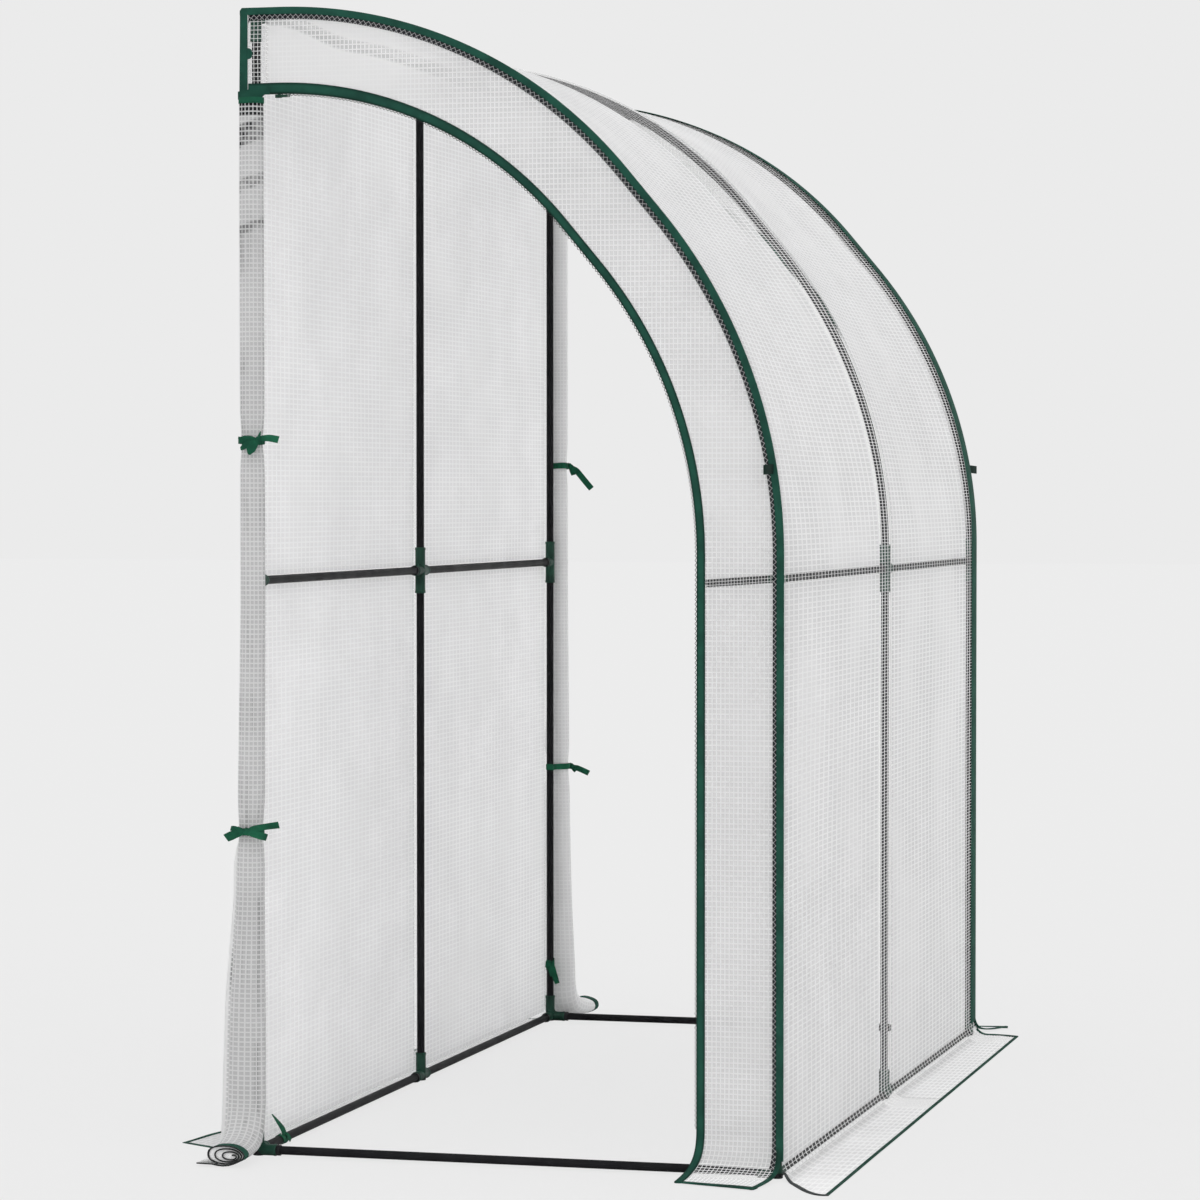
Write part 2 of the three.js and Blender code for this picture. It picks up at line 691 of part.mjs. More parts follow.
// Corner tape between the roof sheet and the end strip, with its guy tab
function hoopBinding(side) {
  const inner = TAPE_OUT - TAPE_WIDTH;
  const roof = TAPE_OUT - (side < 0 ? NEAR_ROOF_TAPE : FAR_ROOF_TAPE);
  const outline = [
    [inner, TAPE_IN], [inner, TAPE_OUT], [TAPE_OUT, TAPE_OUT],
    [TAPE_OUT, roof], [TAPE_IN, roof], [TAPE_IN, TAPE_IN],
  ];
  const top = FOLD_RADIUS + SHEET + GROUND_LIFT;
  const run = [...cornerStations(), ...archStations(), frontStation(top)];
  const corner = loft(run.map(({ at }) => ({
    outline,
    place: (n, out) => new THREE.Vector3(at(n)[0], side * out, at(n)[1]),
  })), sectionFaces);
  return shaped([corner, backTape(side), guyTab(side)]);
}

// Flat tape that stands out past the wall edge beside the strip
function backTape(side) {
  const top = RIDGE_HEIGHT + SHEET_OUT;
  const bottom = top - BACK_TAPE_LENGTH;
  const wallSide = -TAPE_IN - BACK_TAPE_WIDTH;
  const roundOff = SHEET_OUT - CORNER_INSET;
  const outline = [
    [-SHEET_OUT + TAPE_GAP * 2, top - roundOff], [-SHEET_OUT, bottom],
    [wallSide - BACK_TAPE_BULGE, bottom], [wallSide, top - roundOff], [wallSide + roundOff / 2, top - TAPE],
    [-SHEET_OUT, top - roundOff / 2],
  ];
  return loft([TAPE_IN, TAPE_OUT].map((out) => ({
    outline,
    place: (x, z) => new THREE.Vector3(x, side * out, z),
  })), sectionFaces);
}

function guyTab(side) {
  const lean = Math.asin((GUY_HEIGHT - SPRING_HEIGHT) / ARCH.low);
  const x = DEPTH - ARCH.low * (1 - Math.cos(lean)) + (TAPE_OUT - TAPE_WIDTH / 2);
  const root = TAPE_IN + TAPE / 2;
  const tip = TAPE_OUT + GUY_LENGTH;
  const half = GUY_WIDTH / 2;
  const outline = [[root, -half], [tip - TAPE, -half], [tip, 0], [tip - TAPE, half], [root, half]];
  return loft([-GUY_THICK / 2, GUY_THICK / 2].map((across) => ({
    outline,
    place: (out, up) => new THREE.Vector3(x + across, side * out, GUY_HEIGHT + up),
  })), sectionFaces);
}

// Zip slider, made at the top of the arch: X along the zip, Y outward, Z up to the strip
const ZIP_EDGE = -STRIP_WIDTH - TAPE_GAP - TAPE;
const ZIP_BACK = (SHEET_OFFSET - TAPE_GAP - TAPE + TAPE_OUT - ZIP_THICK) / 2;
const ZIP_FRONT = ZIP_BACK + ZIP_THICK;
const SLIDER_FACE = ZIP_FRONT + SLIDER_SIDE_GAP + SLIDER_PLATE;
const SLIDER_TOP = ZIP_EDGE - SLIDER_RIDE_GAP;
const SLIDER_FLOOR = ZIP_EDGE - ZIP_ROW - SLIDER_RIDE_GAP;
const SLIDER_BOTTOM = SLIDER_FLOOR - SLIDER_WEB;
const BRIDGE_MID = (SLIDER_TOP + SLIDER_BOTTOM) / 2;

function alongZip(outline, from, to, side) {
  return loft([from, to].map((x) => ({
    outline,
    place: (z, out) => new THREE.Vector3(x, side * out, z),
  })), sectionFaces);
}

function zipSlider(side) {
  const rear = ZIP_BACK - SLIDER_SIDE_GAP - SLIDER_PLATE;
  const clip = [
    [SLIDER_TOP, rear], [SLIDER_TOP, ZIP_BACK - SLIDER_SIDE_GAP],
    [SLIDER_FLOOR, ZIP_BACK - SLIDER_SIDE_GAP], [SLIDER_FLOOR, ZIP_FRONT + SLIDER_SIDE_GAP],
    [SLIDER_TOP, ZIP_FRONT + SLIDER_SIDE_GAP], [SLIDER_TOP, SLIDER_FACE],
    [SLIDER_BOTTOM, SLIDER_FACE], [SLIDER_BOTTOM, rear],
  ];
  const body = alongZip(clip, -SLIDER_LENGTH / 2, SLIDER_LENGTH / 2, side);
  return shaped([body, zipBridge(side)]);
}

// The small arch on the slider that holds the pull's bar
function zipBridge(side) {
  const foot = SLIDER_FACE - SLIDER_PLATE / 2;
  const under = SLIDER_FACE + BRIDGE_GAP;
  const top = under + BRIDGE_LEG;
  const inner = (BRIDGE_GAP + PULL_THICK) / 2;
  const outer = inner + BRIDGE_LEG;
  const outline = [
    [-outer, foot], [-inner, foot], [-inner, under], [inner, under],
    [inner, foot], [outer, foot], [outer, top], [-outer, top],
  ];
  return loft([-BRIDGE_WIDTH / 2, BRIDGE_WIDTH / 2].map((z) => ({
    outline,
    place: (x, out) => new THREE.Vector3(x, side * out, BRIDGE_MID + z),
  })), sectionFaces);
}

// The pull: a flat tab whose square bar turns under the bridge
function zipPull(side) {
  const half = PULL_THICK / 2;
  const windowHalf = BRIDGE_WIDTH / 2 + PULL_SIDE_GAP;
  const frameHalf = windowHalf + PULL_THICK;
  const windowEnd = (BRIDGE_GAP + PULL_THICK) / 2 + BRIDGE_LEG * 2;
  const frameEnd = windowEnd + PULL_THICK;
  const shape = new THREE.Shape([
    [-half, -frameHalf], [frameEnd, -frameHalf], [frameEnd + PULL_THICK, -PULL_WIDTH / 2],
    [PULL_LENGTH - PULL_THICK, -PULL_WIDTH / 2], [PULL_LENGTH, 0],
    [PULL_LENGTH - PULL_THICK, PULL_WIDTH / 2], [frameEnd + PULL_THICK, PULL_WIDTH / 2],
    [frameEnd, frameHalf], [-half, frameHalf],
  ].map(([x, y]) => new THREE.Vector2(x, y)));
  const hole = (x0, x1, y) => new THREE.Path([
    new THREE.Vector2(x0, -y), new THREE.Vector2(x0, y), new THREE.Vector2(x1, y), new THREE.Vector2(x1, -y),
  ]);
  shape.holes.push(hole(half, windowEnd, windowHalf));
  shape.holes.push(hole(PULL_LENGTH - PULL_EYE - PULL_EYE_LENGTH, PULL_LENGTH - PULL_EYE, PULL_EYE / 2));
  const plate = extrude(shape, PULL_THICK).translate(0, 0, -half);
  return plate.rotateX((side * -Math.PI) / 2);
}

// Rolled door: a spiral of sheet along an upright axis that bends out onto the ground
function rollAt(height, rows) {
  const share = height / ROLL_TOP;
  const below = Math.max(rows.findIndex(([level]) => level <= share), 1);
  const [high, highCentre, highHalf] = rows[below - 1];
  const [low, lowCentre, lowHalf] = rows[below];
  const t = (high - share) / (high - low);
  return {
    centre: THREE.MathUtils.lerp(highCentre, lowCentre, t) * ROLL_WIDTH,
    half: THREE.MathUtils.lerp(highHalf, lowHalf, t) * ROLL_WIDTH,
  };
}

function spiralLine(half, depth, tip) {
  const count = ROLL_TURNS * ROLL_TURN_STEPS;
  const end = THREE.MathUtils.degToRad(ROLL_END_DEGREES);
  const line = [];
  for (let i = 0; i <= count; i += 1) {
    const share = i / count;
    const angle = end + (1 - share) * ROLL_TURNS * Math.PI * 2;
    const reach = THREE.MathUtils.lerp(ROLL_CORE_SHARE, 1, share);
    line.push([(half - SHEET / 2) * reach * Math.cos(angle), (depth - SHEET / 2) * reach * Math.sin(angle)]);
  }
  return [...line, tip];
}

// Both faces of a strip of the given thickness along a line
function stripOutline(line, thickness) {
  const sides = line.map(([x, y], i) => {
    const [ax, ay] = line[Math.max(i - 1, 0)];
    const [bx, by] = line[Math.min(i + 1, line.length - 1)];
    const length = Math.hypot(bx - ax, by - ay);
    const nx = ((ay - by) / length) * (thickness / 2);
    const ny = ((bx - ax) / length) * (thickness / 2);
    return [[x + nx, y + ny], [x - nx, y - ny]];
  });
  return [...sides.map(([left]) => left), ...sides.map(([, right]) => right).reverse()];
}

function rollStation(side, level, place) {
  const { centre, half, depth, isSewn, isTied } = level;
  const seam = [-(SHEET_OFFSET + SHEET_OUT) / 2 - centre, TAPE_IN + SHEET / 2 - ROLL_AXIS];
  const [tipX, tipY] = isTied ? TAIL_HUG_SHARES : TAIL_TIP_SHARES;
  const tip = isSewn ? seam : [half * tipX, depth * tipY];
  return { outline: stripOutline(spiralLine(half, depth, tip), SHEET), place: place(centre, side) };
}

function doorRoll(side, rows, ties) {
  const depth = ROLL_DEPTH / 2;
  const bendHeight = depth + ROLL_CLEAR + ROLL_BEND;
  const pinchHalf = RIBBON_WIDTH / 2 + RIBBON;
  const levels = rows.map(([share]) => {
    const height = share * ROLL_TOP;
    return { height, ...rollAt(height, rows), depth };
  });
  for (const { heightShare } of ties) {
    const height = heightShare * ROLL_TOP;
    const { centre, half } = rollAt(height, rows);
    for (const shift of [pinchHalf, -pinchHalf]) {
      const pinched = { centre, half: half * PINCH_SHARE, depth: depth * PINCH_SHARE };
      levels.push({ ...pinched, height: height + shift, isTied: true });
    }
  }
  levels.sort((a, b) => b.height - a.height);
  const upright = levels.map((level) => rollStation(side, {
    ...level,
    isSewn: level.height > ROLL_SEAM_FROM,
  }, (centre) => (u, v) => new THREE.Vector3(centre + u, side * (ROLL_AXIS + v), level.height)));
  const last = rollAt(0, rows);
  const bendAt = (angle, run) => rollStation(side, { ...last, depth, isSewn: false }, (centre) => (u, v) => {
    const reach = ROLL_BEND - v;
    const out = ROLL_AXIS + ROLL_BEND - reach * Math.cos(angle) + run;
    return new THREE.Vector3(centre + u, side * out, bendHeight - reach * Math.sin(angle));
  });
  const bend = steps(0, Math.PI / 2, ROLL_BEND_STEPS).map((angle) => bendAt(angle, 0));
  return loft([...upright, ...bend, bendAt(Math.PI / 2, ROLL_FLOOR_LENGTH)], bandFaces);
}

// Ribbon ties: a band round the roll, or round roll and post, with a knot and cut tails
function ellipseLine(centre, half, depth, from, to, count) {
  return [from, ...steps(from, to, count)].map((degrees) => {
    const angle = THREE.MathUtils.degToRad(degrees);
    return [centre + half * Math.cos(angle), ROLL_AXIS + depth * Math.sin(angle)];
  });
}

function tieBand(side, level, name, sideName) {
  const clear = RIBBON_GAP + RIBBON / 2;
  const half = level.half + clear;
  const depth = level.depth + clear;
  if (name === "upper") {
    const [from, to] = SEAM_GAP_DEGREES;
    const line = ellipseLine(level.centre, half, depth, from, to, RIBBON_STEPS * 2);
    return ribbon(side, stripOutline(line, RIBBON));
  }
  const [left, right] = WRAP_DEGREES[sideName];
  const post = TUBE_SIZE / 2 + clear;
  const round = [0, ...steps(0, -Math.PI, RIBBON_STEPS)];
  const postLine = round.map((angle) => [post * Math.cos(angle), post * Math.sin(angle)]);
  const rollLine = ellipseLine(level.centre, half, depth, left, right, RIBBON_STEPS);
  return ringBand(side, [...postLine, [-post, TAPE_IN], ...rollLine]);
}

function ribbon(side, outline) {
  return loft([-RIBBON_WIDTH / 2, RIBBON_WIDTH / 2].map((z) => ({
    outline,
    place: (x, out) => new THREE.Vector3(x, side * out, z),
  })), bandFaces);
}

// A closed band with four corners at each point of its line, joined round to its start
function ringBand(side, line) {
  const around = line.map(([x, y], i) => {
    const [ax, ay] = line.at(i - 1);
    const [bx, by] = line[(i + 1) % line.length];
    const length = Math.hypot(bx - ax, by - ay);
    const shift = [((ay - by) / length) * (RIBBON / 2), ((bx - ax) / length) * (RIBBON / 2)];
    return { at: [x, y], shift };
  });
  const corners = [[1, 1], [-1, 1], [-1, -1], [1, -1]];
  const points = around.flatMap(({ at, shift }) => corners.map(([face, edge]) => {
    const out = side * (at[1] + shift[1] * face);
    return new THREE.Vector3(at[0] + shift[0] * face, out, (edge * RIBBON_WIDTH) / 2);
  }));
  const size = corners.length;
  const faces = [];
  around.forEach((_, s) => {
    const next = (s + 1) % around.length;
    for (let i = 0; i < size; i += 1) {
      const j = (i + 1) % size;
      faces.push([s * size + i, s * size + j, next * size + j]);
      faces.push([s * size + i, next * size + j, next * size + i]);
    }
  });
  return closed(points, faces);
}

function doorTie(side, tie, rows, sideName) {
  const { centre, half } = rollAt(tie.heightShare * ROLL_TOP, rows);
  const level = { centre, half: half * PINCH_SHARE, depth: (ROLL_DEPTH / 2) * PINCH_SHARE };
  const [acrossShare, outShare] = tie.knotShares;
  const reach = RIBBON_GAP + RIBBON + KNOT_SEAT;
  const x = level.centre + (level.half + reach * Math.abs(acrossShare)) * acrossShare;
  const out = ROLL_AXIS + (level.depth + reach) * outShare;
  const knot = new THREE.SphereGeometry(KNOT_SIZE / 2, KNOT_SIDE_COUNT, KNOT_RING_COUNT);
  knot.scale(1, KNOT_HEIGHT / KNOT_SIZE, 1).translate(x, side * out, 0);
  const tails = tie.tails.map((shares, i) => {
    const outline = shares.map(([u, v]) => [u * TIE_TAIL, v * TIE_TAIL]);
    const from = out + RIBBON * i;
    return loft([from, from + RIBBON].map((place) => ({
      outline,
      place: (u, v) => new THREE.Vector3(x + u, side * place, v),
    })), sectionFaces);
  });
  return shaped([tieBand(side, level, tie.name, sideName), knot, ...tails]);
}

// Ends of the greenhouse
function addEnd(hoop, name, side) {
  const rows = side < 0 ? NEAR_ROLL_SHARES : FAR_ROLL_SHARES;
  addMesh(hoop, `end_frame_sheet_${name}`, endFrameSheet(side), coverSheet);
  addMesh(hoop, `opening_binding_${name}`, openingBinding(side), greenTape);
  addMesh(hoop, `hoop_binding_${name}`, hoopBinding(side), greenTape);
  addMesh(hoop, `zip_slider_${name}`, zipSlider(side), zipPlastic, RUN_HIGH, 0, RIDGE_HEIGHT);
  const barOut = side * (SLIDER_FACE + BRIDGE_GAP / 2);
  const barHeight = RIDGE_HEIGHT + BRIDGE_MID;
  addMesh(hoop, `zip_pull_${name}`, zipPull(side), zipPlastic, RUN_HIGH, barOut, barHeight);
  addMesh(hoop, `door_roll_${name}`, doorRoll(side, rows, TIES[name]), coverSheet);
  for (const tie of TIES[name]) {
    const ribbonTie = doorTie(side, tie, rows, name);
    addMesh(hoop, `door_tie_${tie.name}_${name}`, ribbonTie, greenRibbon, 0, 0, tie.heightShare * ROLL_TOP);
  }
}

const greenhouse = new THREE.Group();
addMesh(greenhouse, "front_roof_sheet", frontRoofSheet(), coverSheet);
addMesh(greenhouse, "back_wall_sheet", backWallSheet(), coverSheet);
addRails(greenhouse);
for (const [name, side] of [["near", -1], ["mid", 0], ["far", 1]]) {
  const hoop = addHoop(greenhouse, name, side * HOOP_SPACING);
  addConnectors(hoop, name);
  if (side) {
    addSill(hoop, name);
    addEnd(hoop, name, side);
  }
}

export default greenhouse;
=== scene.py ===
import math

import bpy
import numpy as np
from mathutils import Matrix, Vector


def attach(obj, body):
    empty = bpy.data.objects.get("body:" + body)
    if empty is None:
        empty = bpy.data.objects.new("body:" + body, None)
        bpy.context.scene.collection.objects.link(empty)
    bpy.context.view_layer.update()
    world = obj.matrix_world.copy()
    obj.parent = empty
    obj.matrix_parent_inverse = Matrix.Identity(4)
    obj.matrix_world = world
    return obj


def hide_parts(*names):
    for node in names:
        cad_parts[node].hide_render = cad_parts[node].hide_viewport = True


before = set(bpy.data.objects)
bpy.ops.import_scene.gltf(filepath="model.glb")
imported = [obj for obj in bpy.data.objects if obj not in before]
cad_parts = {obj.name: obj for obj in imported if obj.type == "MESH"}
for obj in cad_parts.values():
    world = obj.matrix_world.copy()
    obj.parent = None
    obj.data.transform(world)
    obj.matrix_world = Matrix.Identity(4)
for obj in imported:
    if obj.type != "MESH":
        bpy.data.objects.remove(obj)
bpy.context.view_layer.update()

# --- sizes, in metres, as in the CAD
SPACING = 1.0
DEPTH = 0.99
WAIST = 1.072
FRONT_WAIST = 1.081
RIDGE = 2.118
TURN = math.radians(40)
STRAIGHT = 0.1
TUBE_R = 0.008
SOCKET_R = 0.0105
REACH = 0.048
SIDE_REACH = 0.036
FOOT = 0.0105
TUBE_START = 0.0123
SPRING = WAIST + REACH
SHEET_IN = 0.0113
SHEET_OUT = 0.0123
TAPE_IN = 0.0126
TAPE_OUT = 0.0136
TAPE_WIDTH = 0.013
FOLD_R = 0.030
FOLD_TOP = FOLD_R + 0.001
STRIP = 0.1455
ROLL_TOP = 1.955
ROLL_W = 0.054
ROLL_D = 0.042
ROLL_AXIS = 0.037
ROLL_BEND = 0.085
ROLL_FLOOR = 0.028
SIDES = {"near": -1, "far": 1}
PLACES = {"near": -SPACING, "mid": 0.0, "far": SPACING}

# sizes of this scene's own sheets and tapes
THIN = 0.0007
MIDDLE = (SHEET_IN + SHEET_OUT) / 2
STRIP_OUTER = SHEET_IN - 0.0003
CORNER_INSET = 0.002
SWEEP_TOP = 0.085
SWEEP_REACH = 0.094
SWEEP_STEPS = 26


# --- the hoop's line
def arch_radii():
    c, s = math.cos(TURN), math.sin(TURN)
    away = DEPTH - REACH - STRAIGHT * s
    rise = RIDGE - SPRING - STRAIGHT * c
    base = (1 - c) * (1 - s) - c * s
    return (away * (1 - s) - c * rise) / base, ((1 - c) * rise - s * away) / base


LOW_R, HIGH_R = arch_radii()
RUN_HIGH = REACH
RUN_STRAIGHT = RUN_HIGH + HIGH_R * (math.pi / 2 - TURN)
RUN_LOW = RUN_STRAIGHT + STRAIGHT
RUN_FRONT = RUN_LOW + LOW_R * TURN
RUN_SPLICE = RUN_FRONT * 0.54
RUN_MOUTH = RUN_FRONT - (FRONT_WAIST - WAIST)
RUN_GROUND = RUN_FRONT + SPRING


def hoop_at(distance):
    """Point x, z and outward normal of the hoop's centreline, measured from the ridge joint."""
    if distance <= RUN_HIGH:
        return distance, RIDGE, 0.0, 1.0
    if distance <= RUN_STRAIGHT:
        a = math.pi / 2 - (distance - RUN_HIGH) / HIGH_R
        c, s = math.cos(a), math.sin(a)
        return RUN_HIGH + HIGH_R * c, RIDGE + HIGH_R * (s - 1), c, s
    if distance <= RUN_LOW:
        x, z, c, s = hoop_at(RUN_STRAIGHT)
        past = distance - RUN_STRAIGHT
        return x + past * s, z - past * c, c, s
    if distance <= RUN_FRONT:
        a = TURN - (distance - RUN_LOW) / LOW_R
        c, s = math.cos(a), math.sin(a)
        return DEPTH + LOW_R * (c - 1), SPRING + LOW_R * s, c, s
    return DEPTH, SPRING - (distance - RUN_FRONT), 1.0, 0.0


def beside_hoop(distance, n):
    """Point x, z that lies n outside the hoop's centreline."""
    x, z, nx, nz = hoop_at(distance)
    return x + nx * n, z + nz * n


def corner_at(angle, n):
    """The same at the wall's top corner, where an angle takes the distance's place."""
    reach = n - CORNER_INSET
    return -CORNER_INSET + math.cos(angle) * reach, RIDGE + CORNER_INSET + math.sin(angle) * reach


def corner_angles(steps=6):
    return [math.pi - i * math.pi / 2 / steps for i in range(steps + 1)]


def arch_points(start, end, step=0.03):
    """Distances along the hoop, with one at each place where its bend changes."""
    stops = [start]
    for mark in (RUN_HIGH, RUN_STRAIGHT, RUN_LOW, RUN_FRONT, end):
        mark = min(mark, end)
        if mark > stops[-1] + 1e-9:
            count = max(1, int(round((mark - stops[-1]) / step)))
            stops += [lerp(stops[-1], mark, (i + 1) / count) for i in range(count)]
    return stops


# --- numbers
def lerp(a, b, t):
    return a + (b - a) * t


def unit(vectors):
    return vectors / np.linalg.norm(vectors, axis=-1, keepdims=True)


def tangents(points):
    return unit(np.gradient(points, axis=0))


def runs(points):
    """Distance along a line of points."""
    return np.concatenate([[0], np.cumsum(np.linalg.norm(np.diff(points, axis=0), axis=1))])


def uv_grid(u, run):
    """UV pairs from u round each ring, or at every point, and the run of each ring."""
    return np.stack(np.broadcast_arrays(u, run[:, None]), axis=2)


def smooth(t):
    t = np.clip(t, 0, 1)
    return t * t * (3 - 2 * t)


def swell(share, power):
    """0 at both ends of a span and 1 in its middle."""
    return np.sin(np.pi * np.clip(share, 0, 1)) ** power


def waves(x, y, seed, length, count=7):
    """Smooth seeded ripple between about -1 and 1."""
    rng = np.random.default_rng(seed)
    total = np.zeros(np.broadcast(x, y).shape)
    for _ in range(count):
        a = rng.uniform(0, 2 * math.pi)
        k = 2 * math.pi / (length * rng.uniform(0.7, 1.6))
        total = total + np.sin(k * (x * math.cos(a) + y * math.sin(a)) + rng.uniform(0, 2 * math.pi))
    return total / math.sqrt(count)


def ripples(x, y, seed, length, power=1):
    """Low folds of a flap on the ground, which grow towards its outer edge."""
    tail = np.linspace(0, 1, len(x))[:, None] ** power
    return tail * (0.5 + 0.5 * waves(x, y, seed, length)) ** 2


# --- node helpers
class Value:
    """One output of a node. Sums with it add math nodes, so that a material reads as a formula."""

    def __init__(self, nodes, socket):
        self.nodes, self.socket = nodes, socket

    def math(self, operation, *others):
        return self.nodes.add("ShaderNodeMath", dict(enumerate((self, *others))), operation=operation)

    def __add__(self, other):
        return self.math("ADD", other)

    def __sub__(self, other):
        return self.math("SUBTRACT", other)

    def __rsub__(self, other):
        return self.nodes.add("ShaderNodeMath", {0: other, 1: self}, operation="SUBTRACT")

    def __mul__(self, other):
        return self.math("MULTIPLY", other)

    __rmul__ = __mul__

    def __truediv__(self, other):
        return self.math("DIVIDE", other)

    def max(self, other):
        return self.math("MAXIMUM", other)

    def away(self, place):
        """Distance from a place, which may be a value too."""
        return (self - place).math("ABSOLUTE")

    def ramp(self, low, high, to_low=0.0, to_high=1.0):
        return self.nodes.add("ShaderNodeMapRange", {0: self, 1: low, 2: high, 3: to_low, 4: to_high},
                              interpolation_type="SMOOTHSTEP")


class Nodes:
    """The nodes of one material or world."""

    def __init__(self, owner):
        owner.use_nodes = True
        self.tree = owner.node_tree
        self.tree.nodes.clear()

    def add(self, kind, inputs=None, output=0, **props):
        node = self.tree.nodes.new(kind)
        for key, value in props.items():
            setattr(node, key, value)
        for key, value in (inputs or {}).items():
            if isinstance(value, Value):
                self.tree.links.new(value.socket, node.inputs[key])
            else:
                node.inputs[key].default_value = value
        return Value(self, node.outputs[output]) if node.outputs else None

    def mix(self, share, a, b):
        """Mix of two colours."""
        return self.add("ShaderNodeMix", {0: share, 6: a, 7: b}, 2, data_type="RGBA")

    def blend(self, share, a, b):
        """Mix of two numbers."""
        return self.add("ShaderNodeMix", {0: share, 2: a, 3: b})

    def over(self, share, a, b):
        """Mix of two shaders."""
        return self.add("ShaderNodeMixShader", {0: share, 1: a, 2: b})

    def uv(self, layer="UVMap"):
        place = self.add("ShaderNodeUVMap", uv_map=layer)
        return [self.add("ShaderNodeSeparateXYZ", {0: place}, i) for i in (0, 1)]

    def place(self):
        return self.add("ShaderNodeTexCoord", output="Object")

    def noise(self, vector, scale, detail=3.0, rough=0.5):
        return self.add("ShaderNodeTexNoise",
                        {"Vector": vector, "Scale": scale, "Detail": detail, "Roughness": rough})

    def bump(self, height, distance, strength):
        return self.add("ShaderNodeBump", {"Height": height, "Distance": distance, "Strength": strength})

    def surface(self, colour, rough, specular, more=None):
        return self.add("ShaderNodeBsdfPrincipled", {
            "Base Color": colour, "Roughness": rough, "Specular IOR Level": specular, **(more or {})})

    def shader(self, kind, colour, more=None):
        return self.add("ShaderNode" + kind, {"Color": colour, **(more or {})})

    def out(self, shader, kind="Material"):
        self.add("ShaderNodeOutput" + kind, {"Surface": shader})


def srgb(*levels):
    def one(v):
        v /= 255
        return v / 12.92 if v <= 0.04045 else ((v + 0.055) / 1.055) ** 2.4

    return *map(one, levels), 1.0


def tone(colour, factor=1.0, lift=0.0):
    """A colour made darker or lighter."""
    return *(min(1.0, c * factor + lift) for c in colour[:3]), 1.0


def material(name):
    m = bpy.data.materials.new(name)
    return m, Nodes(m)


# --- materials
def cell_mask(u, v, pitch, share, soft):
    """1 on the woven strings of a scrim, 0 in its cells."""
    edge = 0.5 - share / 2
    across, along = [(value / size).math("FRACT").away(0.5).ramp(edge - soft, edge + soft)
                     for value, size in zip((u, v), pitch)]
    return across.max(along)


def near_any(value, places, fade):
    """1 where the value lies within reach of one of the (place, reach) pairs, fading out past it."""
    total = None
    for place, reach in places:
        mask = value.away(place).ramp(reach, reach + fade, 1.0, 0.0)
        total = total.max(mask) if total else mask
    return total


def strip_calm(across, along):
    """The end strip near the wall, pulled smooth but for one crease that leans down from the corner."""
    crease = across.away(along.ramp(0.03, 0.20, -0.008, -0.050)).ramp(0.007, 0.015, 1.0, 0.0)
    return (1.0 - crease * 2.1) * along.ramp(0.24, 0.50, 0.92, 0.0)


def roll_shade(n, v, haze):
    """Painted shade in a roll's cells: a dark row at its top, where it hangs in shade under the strip, and
    leaning rows where the layers lie apart and shade and the dark post behind show between them; the cells
    darken in cloudy streaks too.
    """
    spot = n.place()
    leaning = v + n.add("ShaderNodeSeparateXYZ", {0: spot}) * 0.34
    first = near_any(v, ((0.013, 0.010),), 0.004)
    gaps = near_any(leaning, ((0.058, 0.018),), 0.005)
    low = near_any(leaning, ((0.150, 0.008), (0.232, 0.006)), 0.006) * 0.6
    patchy = n.noise(spot, 34.0, 2.0).ramp(0.36, 0.56, 0.35, 1.0)
    cloud = n.noise(spot, 11.0, 2.0).ramp(0.42, 0.62)
    drawn = n.add("ShaderNodeMapping", {"Vector": spot, "Scale": (90.0, 90.0, 1.6)})
    streak = n.noise(drawn, 1.0, 2.0).ramp(0.5, 0.72)
    dark = first.max(gaps.max(low) * patchy).max(streak * cloud * 0.55)
    return n.mix(dark, haze, (0.035, 0.036, 0.04, 1))


